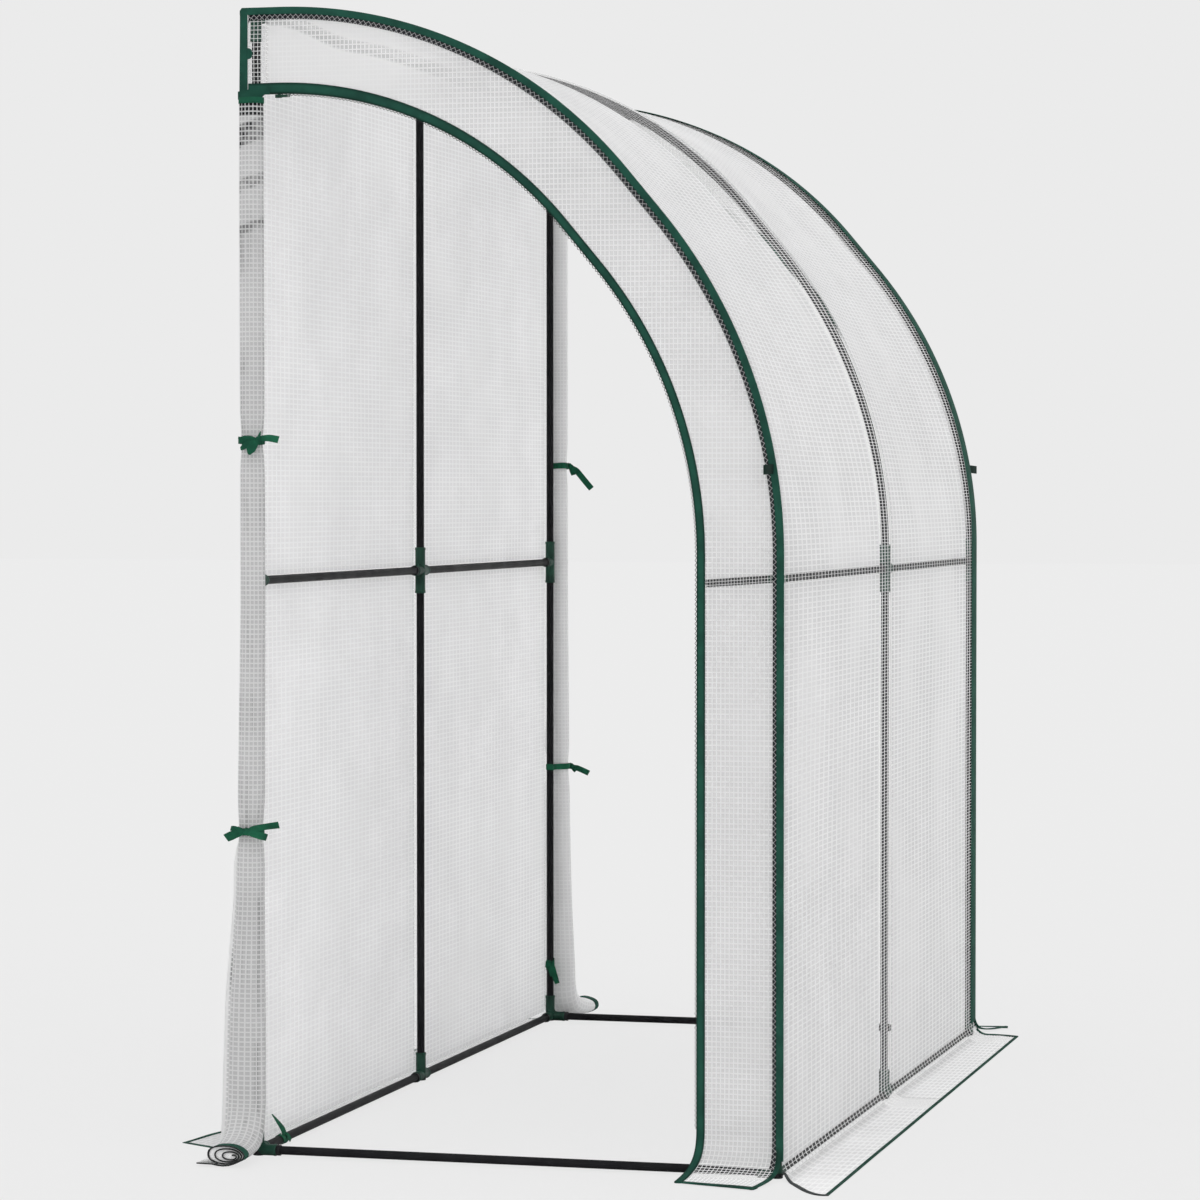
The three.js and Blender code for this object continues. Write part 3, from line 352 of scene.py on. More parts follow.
def sheet_material(name, pitch, fine, seen, white, milk, share=0.24, tubes=None, crest=None,
                   opaque=None, strip=False, shade=None, pass_on=1.0):
    """Scrim of woven strings with milky film between them. Seen is how clear the film is. Tubes holds
    the places along u and along v where the cloth lies on a tube and its film is pressed clear, and
    the closer weave there; crest is a wider such place near the top of the roof. Past the run in
    opaque the cloth lies on the ground. A strip has a lattice beside its outer tape, the line of a
    spur and a calm place near the wall."""
    m, n = material(name)
    u, v = n.uv()
    strings = cell_mask(u, v, pitch, share, 0.07).max(cell_mask(u, v, fine, 0.2, 0.08) * 0.35)
    pressed = 0.0
    if tubes:
        posts, rails, close = tubes
        pressed = near_any(u, posts, 0.008).max(near_any(v, rails, 0.002))
        tight = cell_mask(u, v, close, 0.13, 0.05)
        if crest:
            place, reach, start, end = crest
            wide = near_any(u, ((place, reach),), 0.01) * v.ramp(start, end, 1.0, 0.0)
            pressed = pressed.max(wide)
            tight = tight * v.ramp(start, end, 0.6, 1.0)
        strings = n.blend(pressed, strings, tight)
    if strip:
        leaning = v - u * 0.0699
        over_spur = near_any(leaning, ((1.0118, 0.0062),), 0.002)
        pressed = pressed.max(over_spur)
        strings = n.blend(over_spur, strings, cell_mask(u, leaning, (0.0056, 0.0056), 0.16, 0.05))
        across, along = n.uv("Hoop")
        lattice = cell_mask(across + along, across - along, (0.0102, 0.0102), 0.10, 0.04)
        band = (across - along.ramp(0.9, 1.5, -0.0095, -0.0070)).ramp(0.0, 0.001) * v.ramp(0.010, 0.018)
        strings = n.blend(band, strings, lattice)
    spot = n.place()
    mottle = n.noise(spot, 7.0, 4.0).ramp(0.3, 0.7)
    colour = n.mix(mottle, tone(white), tone(white, 0.97))
    normal = {"Normal": n.bump(strings * 0.7 + n.noise(spot, 900.0, 2.0) * 0.5, 0.0002, 0.5)}
    lit = v.ramp(*opaque, pass_on, 0.1) if opaque else pass_on
    woven = n.over(lit * 0.6, n.surface(colour, 0.6, 0.2, normal),
                   n.shader("BsdfTranslucent", colour, normal))
    haze = n.mix(mottle, tone(milk), tone(milk, 0.96))
    # a shade function paints shade into the film's colour, in place of its flat patches
    if shade:
        haze = shade(n, v, haze)
    else:
        # patches where the film lies level with the strings and the weave hardly shows
        flat = n.noise(spot, 3.4, 2.0).ramp(0.5, 0.7, 0.0, 0.45)
        if strip:
            flat = (flat + strip_calm(across, along)).math("MINIMUM", 0.95)
        haze = n.mix(flat, haze, tone(white, 0.965))
        seen = (1.0 - flat) * seen
    film = n.over(lit * 0.55, n.shader("BsdfDiffuse", haze), n.shader("BsdfTranslucent", haze))
    clear = n.shader("BsdfTransparent", (0.99, 0.99, 0.99, 1))
    cells = n.over(n.add("ShaderNodeMapRange", {0: pressed, 3: seen, 4: 0.985}), film, clear)
    if strip:
        cells = n.over(band * 0.97, cells, n.shader("BsdfDiffuse", (0.012, 0.013, 0.016, 1)))
    n.out(n.over(strings, cells, woven))
    return m


def tape_material(name, light, dark, width, inset=0.0018, sheen=0.0, shade=0.0):
    """Woven tape: u runs across it and v along it, with a row of stitches set in from each edge. Shade
    darkens both its edges as painted shade.
    """
    m, n = material(name)
    u, v = n.uv()
    spot = n.place()
    thread = 2 * math.pi / 0.0011
    weave = (((u + v) * thread).math("SINE") + ((u - v) * thread).math("SINE")) * 0.5
    colour = n.mix(n.noise(spot, 26.0, 4.0, 0.6).ramp(0.3, 0.72), light, dark)
    colour = n.mix(weave.ramp(-1.0, 1.0, 0.0, 0.22), colour, tone(dark, 0.6))
    colour = n.mix(n.noise(spot, 240.0).ramp(0.62, 0.8, 0.0, 0.25), colour, tone(light, 1.5, 0.01))
    # painted shade: both edges of the tape drawn towards its dark colour
    if shade:
        side = u.ramp(0.0005, 0.0045, shade, 0.0).max(u.ramp(width - 0.003, width, 0.0, shade))
        colour = n.mix(side, colour, tone(dark, 0.3))
    height = weave * 0.25
    if inset:
        dash = (v / 0.0034).math("FRACT").away(0.5).ramp(0.34, 0.4, 1.0, 0.0)
        stitch = near_any(u, ((inset, 0.0002), (width - inset, 0.0002)), 0.0002) * dash
        colour = n.mix(stitch * 0.75, colour, dark)
        height = height - stitch * 0.6
    n.out(n.surface(colour, 0.78, 0.1, {
        "Normal": n.bump(height, 0.0002, 0.6), "Sheen Weight": sheen, "Sheen Roughness": 0.4}))
    return m


def tube_material():
    m, n = material("powder_coat")
    spot = n.place()
    cloud = n.noise(spot, 14.0)
    colour = n.mix(cloud.ramp(0.3, 0.7), srgb(27, 27, 29), srgb(34, 34, 36))
    colour = n.mix(n.noise(spot, 120.0, 6.0, 0.7).ramp(0.66, 0.8, 0.0, 0.25), colour, srgb(58, 58, 60))
    orange_peel = n.bump(n.noise(spot, 700.0, 2.0), 0.00012, 0.35)
    n.out(n.surface(colour, cloud.ramp(0.25, 0.75, 0.36, 0.5), 0.04, {"Normal": orange_peel}))
    return m


def plastic_material(name, light, dark, rough=0.46):
    m, n = material(name)
    spot = n.place()
    cloud = n.noise(spot, 30.0)
    colour = n.mix(cloud.ramp(0.3, 0.7), light, dark)
    scuff = n.noise(spot, 170.0, 5.0, 0.7).ramp(0.64, 0.8, 0.0, 0.3)
    colour = n.mix(scuff, colour, tone(light, 1.8, 0.02))
    grain = n.bump(n.noise(spot, 1100.0, 3.0, 0.6), 0.0002, 0.4)
    n.out(n.surface(colour, cloud.ramp(0.2, 0.8, rough - 0.06, rough + 0.08), 0.22, {"Normal": grain}))
    return m


# runs of the cover's weave from the wall's top corner down to the rails
RUN_COVER = (MIDDLE - CORNER_INSET) * math.pi / 2 + CORNER_INSET + REACH
RUN_COVER += (HIGH_R + MIDDLE) * (math.pi / 2 - TURN) + STRAIGHT + (LOW_R + MIDDLE) * TURN
RUN_WAIST_RAIL = RUN_COVER + SPRING - FRONT_WAIST
RUN_GROUND_RAIL = RUN_COVER + SPRING - 0.0155
GREEN = srgb(33, 80, 66)
GREEN_DARK = srgb(26, 63, 53)
ROLL_WEAVE = (0.0076, 0.0090)

# the slot and the material of each look
LOOKS = {
    "roof": ("cover_sheet", sheet_material(
        "cover_scrim_roof", (0.040, 0.0098), (0.008, 0.0098), 0.14, (0.95, 0.95, 0.95), (0.82, 0.82, 0.823),
        tubes=(((-0.052, 0.064), (0.948, 0.064)),
               ((0.0174, 0.012), (RUN_WAIST_RAIL, 0.0068), (RUN_GROUND_RAIL, 0.0095)), (0.0292, 0.0066)),
        crest=(-0.105, 0.117, 0.75, 0.95), opaque=(RUN_GROUND_RAIL + 0.012, RUN_GROUND_RAIL + 0.035))),
    "wall": ("cover_sheet", sheet_material(
        "cover_scrim_wall", (0.024, 0.0098), (0.008, 0.0098), 0.12, (0.97, 0.97, 0.97), (0.91, 0.91, 0.915),
        tubes=(((-1.0, 0.007), (0.0, 0.007), (1.0, 0.007)),
               ((0.0, 0.012), (RIDGE - WAIST, 0.0065), (RIDGE - FOOT, 0.009)), (0.0064, 0.0064)))),
    "end": ("cover_sheet", sheet_material(
        "cover_scrim_end", (0.0080, 0.0094), (0.0080, 0.0094), 0.22, (0.93, 0.93, 0.93), (0.82, 0.82, 0.823),
        tubes=(((0.0, 0.022),), ((-0.006, 0.022),), (0.0076, 0.0078)), opaque=(0.03, -0.01), strip=True)),
    # the near roll: its film darker than the other sheets', painted shade for the shade within its wound
    # layers, with more painted shade from roll_shade
    "roll": ("cover_sheet", sheet_material(
        "cover_scrim_roll", ROLL_WEAVE, ROLL_WEAVE, 0.14, (0.93, 0.93, 0.93), (0.78, 0.78, 0.783),
        share=0.27, shade=roll_shade)),
    # the far roll and the roll's inner folds: a lighter, less translucent copy of the roll's cloth, painted
    # light that makes up for the shade they hang in
    "roll_lightened": ("cover_sheet", sheet_material(
        "cover_scrim_roll_lightened", ROLL_WEAVE, ROLL_WEAVE, 0.06, (0.96, 0.96, 0.96), (0.92, 0.92, 0.922),
        share=0.27, pass_on=0.3)),
    "tape": ("green_tape", tape_material("woven_tape", GREEN, GREEN_DARK, TAPE_WIDTH)),
    # the opening tape has painted shade along both edges
    "opening": ("green_tape", tape_material("opening_tape", GREEN, GREEN_DARK, TAPE_WIDTH, shade=0.75)),
    "edge": ("green_tape", tape_material("edge_tape", GREEN, srgb(22, 52, 43), 0.009, 0.0022)),
    "hem": ("green_tape", tape_material("hem_tape", srgb(70, 74, 74), srgb(48, 52, 53), 0.008, 0.002)),
    "head": ("green_tape", tape_material("head_tape", srgb(32, 94, 71), srgb(24, 74, 56), 0.016)),
    "loop": ("green_ribbon", tape_material("loop_ribbon", srgb(18, 46, 38), srgb(12, 32, 27), 0.017)),
    "ribbon": ("green_ribbon", tape_material(
        "ribbon_weave", srgb(30, 98, 70), srgb(20, 66, 50), 0.014, None, sheen=0.05)),
    "tube": ("tube_steel", tube_material()),
    "connector": ("connector_plastic", plastic_material("moulded_green", srgb(29, 68, 54), srgb(21, 52, 42))),
    "sleeve": ("connector_plastic", plastic_material(
        "moulded_black", srgb(24, 25, 27), srgb(32, 33, 35), 0.4)),
    "zip": ("zip_plastic", plastic_material("zip_coil", srgb(20, 30, 27), srgb(14, 22, 20), 0.42)),
    "slider": ("zip_plastic", plastic_material("zip_slider", srgb(30, 70, 55), srgb(22, 54, 43), 0.4)),
}


# --- mesh helpers
def closed(grid):
    """A grid with its first column once more at its end."""
    return np.concatenate([grid, grid[:, :1]], axis=1)


def corners_of(grid):
    """The values at the four corners of each quad of a grid (S, K + 1, ...)."""
    four = np.stack([grid[:-1, :-1], grid[:-1, 1:], grid[1:, 1:], grid[1:, :-1]], axis=2)
    return four.reshape(-1, 4, *grid.shape[2:])


class Parts:
    """Several closed shells gathered into one mesh."""

    def __init__(self):
        self.verts, self.quads, self.polys, self.count = [], [], [], 0
        self.quad_uv, self.poly_uv = {}, {}

    def loft(self, rings, uv=None, band=False, hoop=None):
        """A solid through rings of points (S, K, 3). Its ends are single faces, or bands of quads
        between the two halves of a ring. Hoop is a second UV layer."""
        rings = np.asarray(rings, float)
        count, size = rings.shape[:2]
        if uv is None:
            around = np.linalg.norm(np.roll(rings, -1, axis=1) - rings, axis=2).mean(0)
            layers = {"UVMap": uv_grid(np.concatenate([[0], np.cumsum(around)]), runs(rings.mean(1)))}
        else:
            layers = {"UVMap": closed(uv)}
        if hoop is not None:
            layers["Hoop"] = closed(hoop)
        verts = rings.reshape(-1, 3)
        quads = corners_of(closed(np.arange(count * size).reshape(count, size)))
        a, b, c, d = np.moveaxis(verts[quads] - verts.mean(0), 1, 0)
        turned = np.sum(a * np.cross(b, c)) + np.sum(a * np.cross(c, d)) < 0
        order = -1 if turned else 1
        for s in (0, count - 1):
            ends = [list(range(size))]
            if band:
                ends = [[i, i + 1, size - 2 - i, size - 1 - i] for i in range(size // 2 - 1)]
            for poly in ends:
                poly = poly[::-1] if (s == 0) != turned else poly
                self.polys.append([self.count + s * size + i for i in poly])
                for layer, flat in layers.items():
                    self.poly_uv.setdefault(layer, []).extend(flat[s, i] for i in poly)
        for layer, flat in layers.items():
            self.quad_uv.setdefault(layer, []).append(corners_of(flat)[:, ::order].reshape(-1, 2))
        self.verts.append(verts)
        self.quads.append(quads[:, ::order] + self.count)
        self.count += len(verts)
        return self

    def done(self, name, look, nodes=(), angle=None):
        """The mesh as an object, which replaces the named nodes of the CAD."""
        mesh = bpy.data.meshes.new(name)
        mesh.vertices.add(self.count)
        mesh.vertices.foreach_set("co", np.concatenate(self.verts).astype(np.float32).ravel())
        quads = np.concatenate(self.quads)
        sizes = np.array([4] * len(quads) + [len(p) for p in self.polys])
        index = np.concatenate([quads.ravel()] + [np.array(p) for p in self.polys])
        mesh.loops.add(len(index))
        mesh.loops.foreach_set("vertex_index", index)
        mesh.polygons.add(len(sizes))
        mesh.polygons.foreach_set("loop_start", np.concatenate([[0], np.cumsum(sizes)[:-1]]))
        mesh.update(calc_edges=True)
        for layer, data in self.quad_uv.items():
            data = np.concatenate(data + [np.array(self.poly_uv[layer])])
            mesh.uv_layers.new(name=layer).data.foreach_set("uv", data.astype(np.float32).ravel())
        slot, look_material = LOOKS[look]
        mesh.materials.append(look_material)
        mesh.polygons.foreach_set("use_smooth", np.ones(len(sizes), bool))
        mesh.validate()
        obj = bpy.data.objects.new(name, mesh)
        bpy.context.scene.collection.objects.link(obj)
        if angle is not None:
            mesh.set_sharp_from_angle(angle=math.radians(angle))
        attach(obj, "frame")
        if nodes:
            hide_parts(*nodes)
        return obj


def tube_rings(points, radius, sides):
    """Circles along a path, turned as little as possible."""
    p = np.asarray(points, float)
    t = tangents(p)
    current = np.array((0, 1, 0)) - t[0] * t[0][1]
    if np.linalg.norm(current) < 1e-6:
        current = np.cross(t[0], (0, 0, 1.0))
    normals = []
    for ahead in t:
        current = unit(current - ahead * np.dot(current, ahead))
        normals.append(current)
    b = np.array(normals)
    angle = (np.arange(sides) * 2 * math.pi / sides)[None, :, None]
    circle = np.cross(t, b)[:, None] * np.cos(angle) + b[:, None] * np.sin(angle)
    return p[:, None] + np.broadcast_to(radius, len(p))[:, None, None] * circle


def strip_rings(points, normals, width, thick):
    """Flat ribbon along a path, with its width across the path and the normal. Without a normal it
    stands upright."""
    p = np.asarray(points, float)
    t = tangents(p)
    n = np.cross(t, (0, 0, 1.0)) if normals is None else np.broadcast_to(np.asarray(normals, float), p.shape)
    n = unit(n - t * np.sum(n * t, axis=1)[:, None])
    side = np.cross(t, n)
    w = np.broadcast_to(width, len(p))[:, None]
    columns = np.linspace(-0.5, 0.5, 5)
    top = [p + side * w * c + n * (thick / 2) for c in columns]
    bottom = [p + side * w * c - n * (thick / 2) for c in columns[::-1]]
    across = np.concatenate([columns, columns[::-1]]) + 0.5
    return np.stack(top + bottom, axis=1), uv_grid(across * w, runs(p))


def thin_sheet(p, uv, hoop=None):
    """A thin sheet from a grid of its middle surface (S, C, 3)."""
    def both(grid):
        return np.concatenate([grid, grid[:, ::-1]], axis=1)

    n = unit(np.cross(np.gradient(p, axis=0), np.gradient(p, axis=1))) * (THIN / 2)
    rings = np.concatenate([p + n, (p - n)[:, ::-1]], axis=1)
    return Parts().loft(rings, both(uv), True, None if hoop is None else both(hoop))


# --- frame tubes
def tube(name, points):
    """Round tube with rolled-in ends."""
    lip = 0.0006
    p = np.array(points, float)
    first, last = [q + unit(r - q) * lip for q, r in ((p[0], p[1]), (p[-1], p[-2]))]
    line = np.vstack([p[0], first, p[1:-1], last, p[-1]])
    radii = np.full(len(line), TUBE_R)
    radii[[0, -1]] -= lip
    Parts().loft(tube_rings(line, radii, 24)).done(name + "_tube", "tube", (name,), 40)


def straight(name, a, b):
    tube(name, np.linspace(a, b, 3))


def build_tubes():
    low, mid, top = FOOT + TUBE_START, WAIST - TUBE_START, RIDGE - TUBE_START
    for name, y in PLACES.items():
        straight(f"wall_post_lower_{name}", (0, y, low), (0, y, mid))
        straight(f"wall_post_upper_{name}", (0, y, WAIST + TUBE_START), (0, y, top))
        straight(f"front_post_{name}", (DEPTH, y, low), (DEPTH, y, FRONT_WAIST - TUBE_START))
        for half, start, end in (("upper", TUBE_START, RUN_SPLICE),
                                 ("lower", RUN_SPLICE + 0.0003, RUN_MOUTH + REACH - TUBE_START)):
            tube(f"arch_{half}_{name}", [(hoop_at(s)[0], y, hoop_at(s)[1]) for s in arch_points(start, end)])
    for half, y in (("near", -SPACING), ("far", 0.0)):
        for rail, x, z in (
                ("wall_ground_rail", 0, FOOT), ("wall_mid_rail", 0, WAIST), ("ridge_rail", 0, RIDGE),
                ("front_ground_rail", DEPTH, FOOT), ("front_mid_rail", DEPTH, FRONT_WAIST)):
            straight(f"{rail}_{half}", (x, y + TUBE_START, z), (x, y + SPACING - TUBE_START, z))
    for name in SIDES:
        y = PLACES[name]
        straight(f"door_sill_{name}", (TUBE_START, y, FOOT), (DEPTH - TUBE_START, y, FOOT))


# --- connectors
def arm(parts, centre, direction, start, reach, radius=SOCKET_R, lip=0.0007, sides=28):
    """Moulded socket: barrel, rolled lip and the bore that takes a tube."""
    d = np.array(direction, float)
    profile = [
        (start, radius - 0.0006), (start + 0.0006, radius), (reach - 0.0062, radius),
        (reach - 0.0055, radius + lip * 0.8), (reach - 0.0045, radius + lip), (reach - 0.0012, radius + lip),
        (reach - 0.0004, radius + lip * 0.4), (reach, radius - 0.0006), (reach - 0.0004, TUBE_R + 0.0006),
        (reach - 0.004, TUBE_R + 0.0003)]
    side = unit(np.cross(d, (0, 0, 1.0) if abs(d[2]) < 0.9 else (1.0, 0, 0)))
    angle = np.arange(sides) * 2 * math.pi / sides
    circle = np.outer(np.cos(angle), side) + np.outer(np.sin(angle), np.cross(d, side))
    parts.loft([centre + d * along + r * circle for along, r in profile])


def web(parts, centre, direction, sign):
    """Triangular gusset with softened edges in the corner between two arms."""
    d, up = np.array(direction, float), np.array((0, 0, sign), float)
    side = np.cross(d, (0, 0, 1.0))
    outline = [(0.006, 0.006), (0.0205, 0.006), (0.0205, 0.009), (0.012, 0.0122), (0.009, 0.0205),
               (0.006, 0.0205)]
    parts.loft([[centre + d * (a - shrink) + up * (b - shrink) + side * across for a, b in outline]
                for across, shrink in ((-0.002, 0.0006), (-0.0015, 0.0), (0.0015, 0.0), (0.002, 0.0006))])


def connector(name, centre, up, down, sides, spur=False):
    """A push-fit connector, with black sleeves on the arms that point to the near end or the front."""
    green, black = Parts(), Parts()
    c = np.array(centre, float)
    if up:
        arm(green, c, (0, 0, 1), -0.004 if down else -FOOT, REACH)
    if down:
        arm(green, c, (0, 0, -1), -0.004 if up else 0.0, REACH)
    if not up:
        cap = [c - (0, 0, drop) for drop in (0.006, 0.001, 0)]
        green.loft(tube_rings(cap, [SOCKET_R, SOCKET_R, SOCKET_R - 0.0008], 28))
    for x, y in sides:
        reach = SIDE_REACH if y or not down else REACH
        arm(green, c, (x, y, 0), -0.002, reach)
        for sign, there in ((1, up), (-1, down)):
            if there:
                web(green, c, (x, y, 0), sign)
        if y < 0 or x > 0:
            sleeve = c + np.array((x, y, 0.0)) * (reach - 0.001)
            arm(black, sleeve, (x, y, 0), 0, 0.009, TUBE_R + 0.0018, 0.0004)
    if spur:
        droop = math.radians(4)
        d = np.array((-math.cos(droop), 0, -math.sin(droop)))
        arm(green, c, d, 0, 0.016, SOCKET_R - 0.0008)
        points = [c + d * s for s in (0.008, 0.05, 0.130, 0.132)]
        black.loft(tube_rings(points, [TUBE_R, TUBE_R, TUBE_R, TUBE_R - 0.0008], 24))
    green.done(name + "_moulding", "connector", (name,), 35)
    if black.count:
        black.done(name + "_sleeve", "sleeve", angle=35)


def build_connectors():
    for name, y in PLACES.items():
        along = {"near": [(0, 1)], "mid": [(0, 1), (0, -1)], "far": [(0, -1)]}[name]
        end = name != "mid"
        connector(f"wall_foot_{name}", (0, y, FOOT), True, False, along + ([(1, 0)] if end else []))
        connector(f"front_foot_{name}", (DEPTH, y, FOOT), True, False, along + ([(-1, 0)] if end else []))
        feet = Parts()
        for x in (0, DEPTH):
            feet.loft(tube_rings([(x, y, z) for z in (0.0003, 0.0012, 0.0095, 0.0102)],
                                 [SOCKET_R + more for more in (-0.0006, 0.0002, 0.0002, -0.0004)], 28))
        feet.done(f"foot_caps_{name}", "sleeve", angle=35)
        connector(f"wall_joint_{name}", (0, y, WAIST), True, True, along)
        connector(f"front_joint_{name}", (DEPTH, y, FRONT_WAIST), True, True, along, end)
        connector(f"ridge_joint_{name}", (0, y, RIDGE), False, True, along + [(1, 0)])


# --- cover sheets
def fold_profile(run_to, bends=8, flats=10):
    """Distance out, height, angle and run, round the fold at a sheet's foot and along the ground."""
    centre, reach = SHEET_OUT + FOLD_R, SHEET_OUT + FOLD_R - MIDDLE
    rows = []
    for i in range(1, bends + 1):
        a = i * math.pi / 2 / bends
        rows.append((centre - reach * math.cos(a), FOLD_TOP - reach * math.sin(a), a, 0.0))
    for i in range(1, flats + 1):
        run = (run_to - FOLD_R) * i / flats
        rows.append((centre + run, FOLD_TOP - reach, math.pi / 2, run))
    return np.array(rows)


def edge_tape(name, line, outward, width, look="edge", thick=0.0024):
    """Tape folded over a sheet's edge: a flat, round-edged band that wraps it."""
    t = tangents(line)
    o = np.broadcast_to(np.array(outward, float), line.shape)
    o = unit(o - t * np.sum(o * t, axis=1)[:, None])
    n = np.cross(t, o)
    past = 0.0006
    half = [(-width, 0.32), (-width * 0.5, 0.5), (-width * 0.1, 0.46), (past * 0.7, 0.3)]
    outline = half + [(past, 0.0)] + [(a, -b) for a, b in half[::-1]]
    rings = np.stack([line + o * a + n * (b * thick) for a, b in outline], axis=1)
    rings[:, :, 2] = np.maximum(rings[:, :, 2], 0.0002)
    uv = uv_grid(np.array([a + width for a, _ in outline]), runs(line))
    Parts().loft(rings, uv).done(name, look)


def build_roof_sheet():
    edge = SPACING + SHEET_OUT
    flap = 0.102
    line = [corner_at(a, MIDDLE) for a in corner_angles()]
    line += [beside_hoop(s, MIDDLE) for s in arch_points(RUN_HIGH, RUN_GROUND - FOLD_TOP, 0.016)]
    fold = fold_profile(flap)
    ys = np.linspace(-1, 1, 141)
    rows = [[(x, y * edge, z) for y in ys] for x, z in line]
    # the flap's near side follows a curve of distance out and widening, and its outer edge runs askew
    curve = np.polyfit((0.0118, 0.020, 0.0307, 0.0789, 0.1076, 0.1274),
                       (0, 0.013, 0.0303, 0.1198, 0.1469, 0.1482), 3)
    for out, up, _, past in fold:
        share = past / (flap - FOLD_R)
        skew = 0.0131 * share
        near = -edge - max(0.0, float(np.polyval(curve, out + skew)))
        far = edge - 0.018 * share ** 2
        rows.append([(DEPTH + out + skew * (1 - y) / 2, lerp(near, far, (y + 1) / 2), up) for y in ys])
    p = np.array(rows)
    upright = len(line)
    run = runs(np.vstack([line, np.c_[DEPTH + fold[:, 0], fold[:, 1]]]))
    # slack between hoops, held at the rails
    bay = np.abs(p[:, :, 1]) / SPACING
    bay = 4 * bay * (1 - bay) * (bay < 1)
    s, foot = run[:, None], run[upright - 1]
    waist = foot - (FRONT_WAIST - FOLD_R)
    upper, lower = swell(s / waist, 0.9), swell((s - waist) / (foot - waist), 2)
    slack = bay * (upper * 0.021 + lower * 0.0035)
    slack = slack - bay * (upper + lower) * 0.0012 * waves(p[:, :, 1], s * 0.35, 5, 0.35)
    outward = unit(np.cross(np.gradient(p, axis=0), (0, 1.0, 0)))
    p[:upright] -= (outward * slack[:, :, None])[:upright]
    ripple = ripples(p[upright:, :, 1], s[upright:] * 2, 9, 0.5)
    p[upright:, :, 2] += ripple * 0.0016
    p[upright:, :, 0] += ripple * 0.001
    sheet = thin_sheet(p, uv_grid(p[:, :, 1], run)).done("roof_front_cover", "roof", ("front_roof_sheet",))
    edge_tape("roof_flap_edge", p[-1], (1, 0, 0), 0.007, thick=0.0017)
    edge_tape("roof_flap_hem", p[upright + 2:, 0], (0, -1, 0), 0.009, "hem", 0.0036)
    edge_tape("roof_flap_hem_far", p[upright + 2:, -1], (0, 1, 0), 0.012, thick=0.0042)


def build_back_sheet():
    edge = SPACING + SHEET_OUT
    flap = 0.140
    heights = np.linspace(RIDGE + 0.0017, FOLD_TOP, 110)
    fold = fold_profile(flap)
    ys = np.linspace(0, 1, 121)
    rows = [[(-MIDDLE, lerp(-edge, edge, y), z) for y in ys] for z in heights]
    for out, up, a, past in fold:
        near = -edge + 0.104 * (FOLD_R * math.sin(a) ** 2 + past) / flap
        skew = 0.034 * past / (flap - FOLD_R) * np.maximum(0.0, 1 - ys * 2 * edge / 0.188)
        rows.append(np.c_[-(out + skew), lerp(near, edge, ys), np.full(len(ys), up)])
    p = np.array(rows)
    upright = len(heights)
    run = runs(p[:, len(ys) // 2])
    y, z = p[:, :, 1], p[:, :, 2]
    bay = np.abs(np.sin(np.pi * y / SPACING)) ** 1.2 * (np.abs(y) < SPACING)
    # the wall lies just behind, so slack only comes inwards, clear of the rails
    rail = 1 - np.exp(-((z - WAIST) / 0.12) ** 2)
    depth = 0.0015 + 0.0022 * (0.5 + 0.5 * waves(y, z * 0.3, 12, 0.5))
    slack = bay * swell(run / run[upright - 1], 0.7)[:, None] * rail * depth
    p[:upright, :, 0] += slack[:upright]
    p[upright:, :, 2] += ripples(y[upright:], p[upright:, :, 0] * 2, 19, 0.26) * 0.003
    sheet = thin_sheet(p, uv_grid(y, run)).done("back_wall_cover", "wall", ("back_wall_sheet",))
    edge_tape("back_flap_edge", p[-1], (-1, 0, 0), 0.009)
    edge_tape("back_flap_side", p[upright + 2:, 0], (0, -1, 0), 0.009)
    edge_tape("back_flap_side_far", p[upright + 2:, -1], (0, 1, 0), 0.009)


def sweep(t, reach, share=0.0):
    """Distance out, height and outward normal where an end strip runs out onto the ground."""
    p = np.array([(0, SWEEP_TOP), (0, lerp(0.040, 0.011, share)),
                  (lerp(0.19, 0.03, share) * reach, lerp(0.016, 0.004, share)), (reach, 0.0028)])
    at = p[0] * (1 - t) ** 3 + p[1] * 3 * t * (1 - t) ** 2 + p[2] * 3 * t * t * (1 - t) + p[3] * t ** 3
    along = (p[1] - p[0]) * (1 - t) ** 2 + (p[2] - p[1]) * 2 * t * (1 - t) + (p[3] - p[2]) * t * t
    along = unit(along)
    return at[0], at[1], -along[1], along[0]


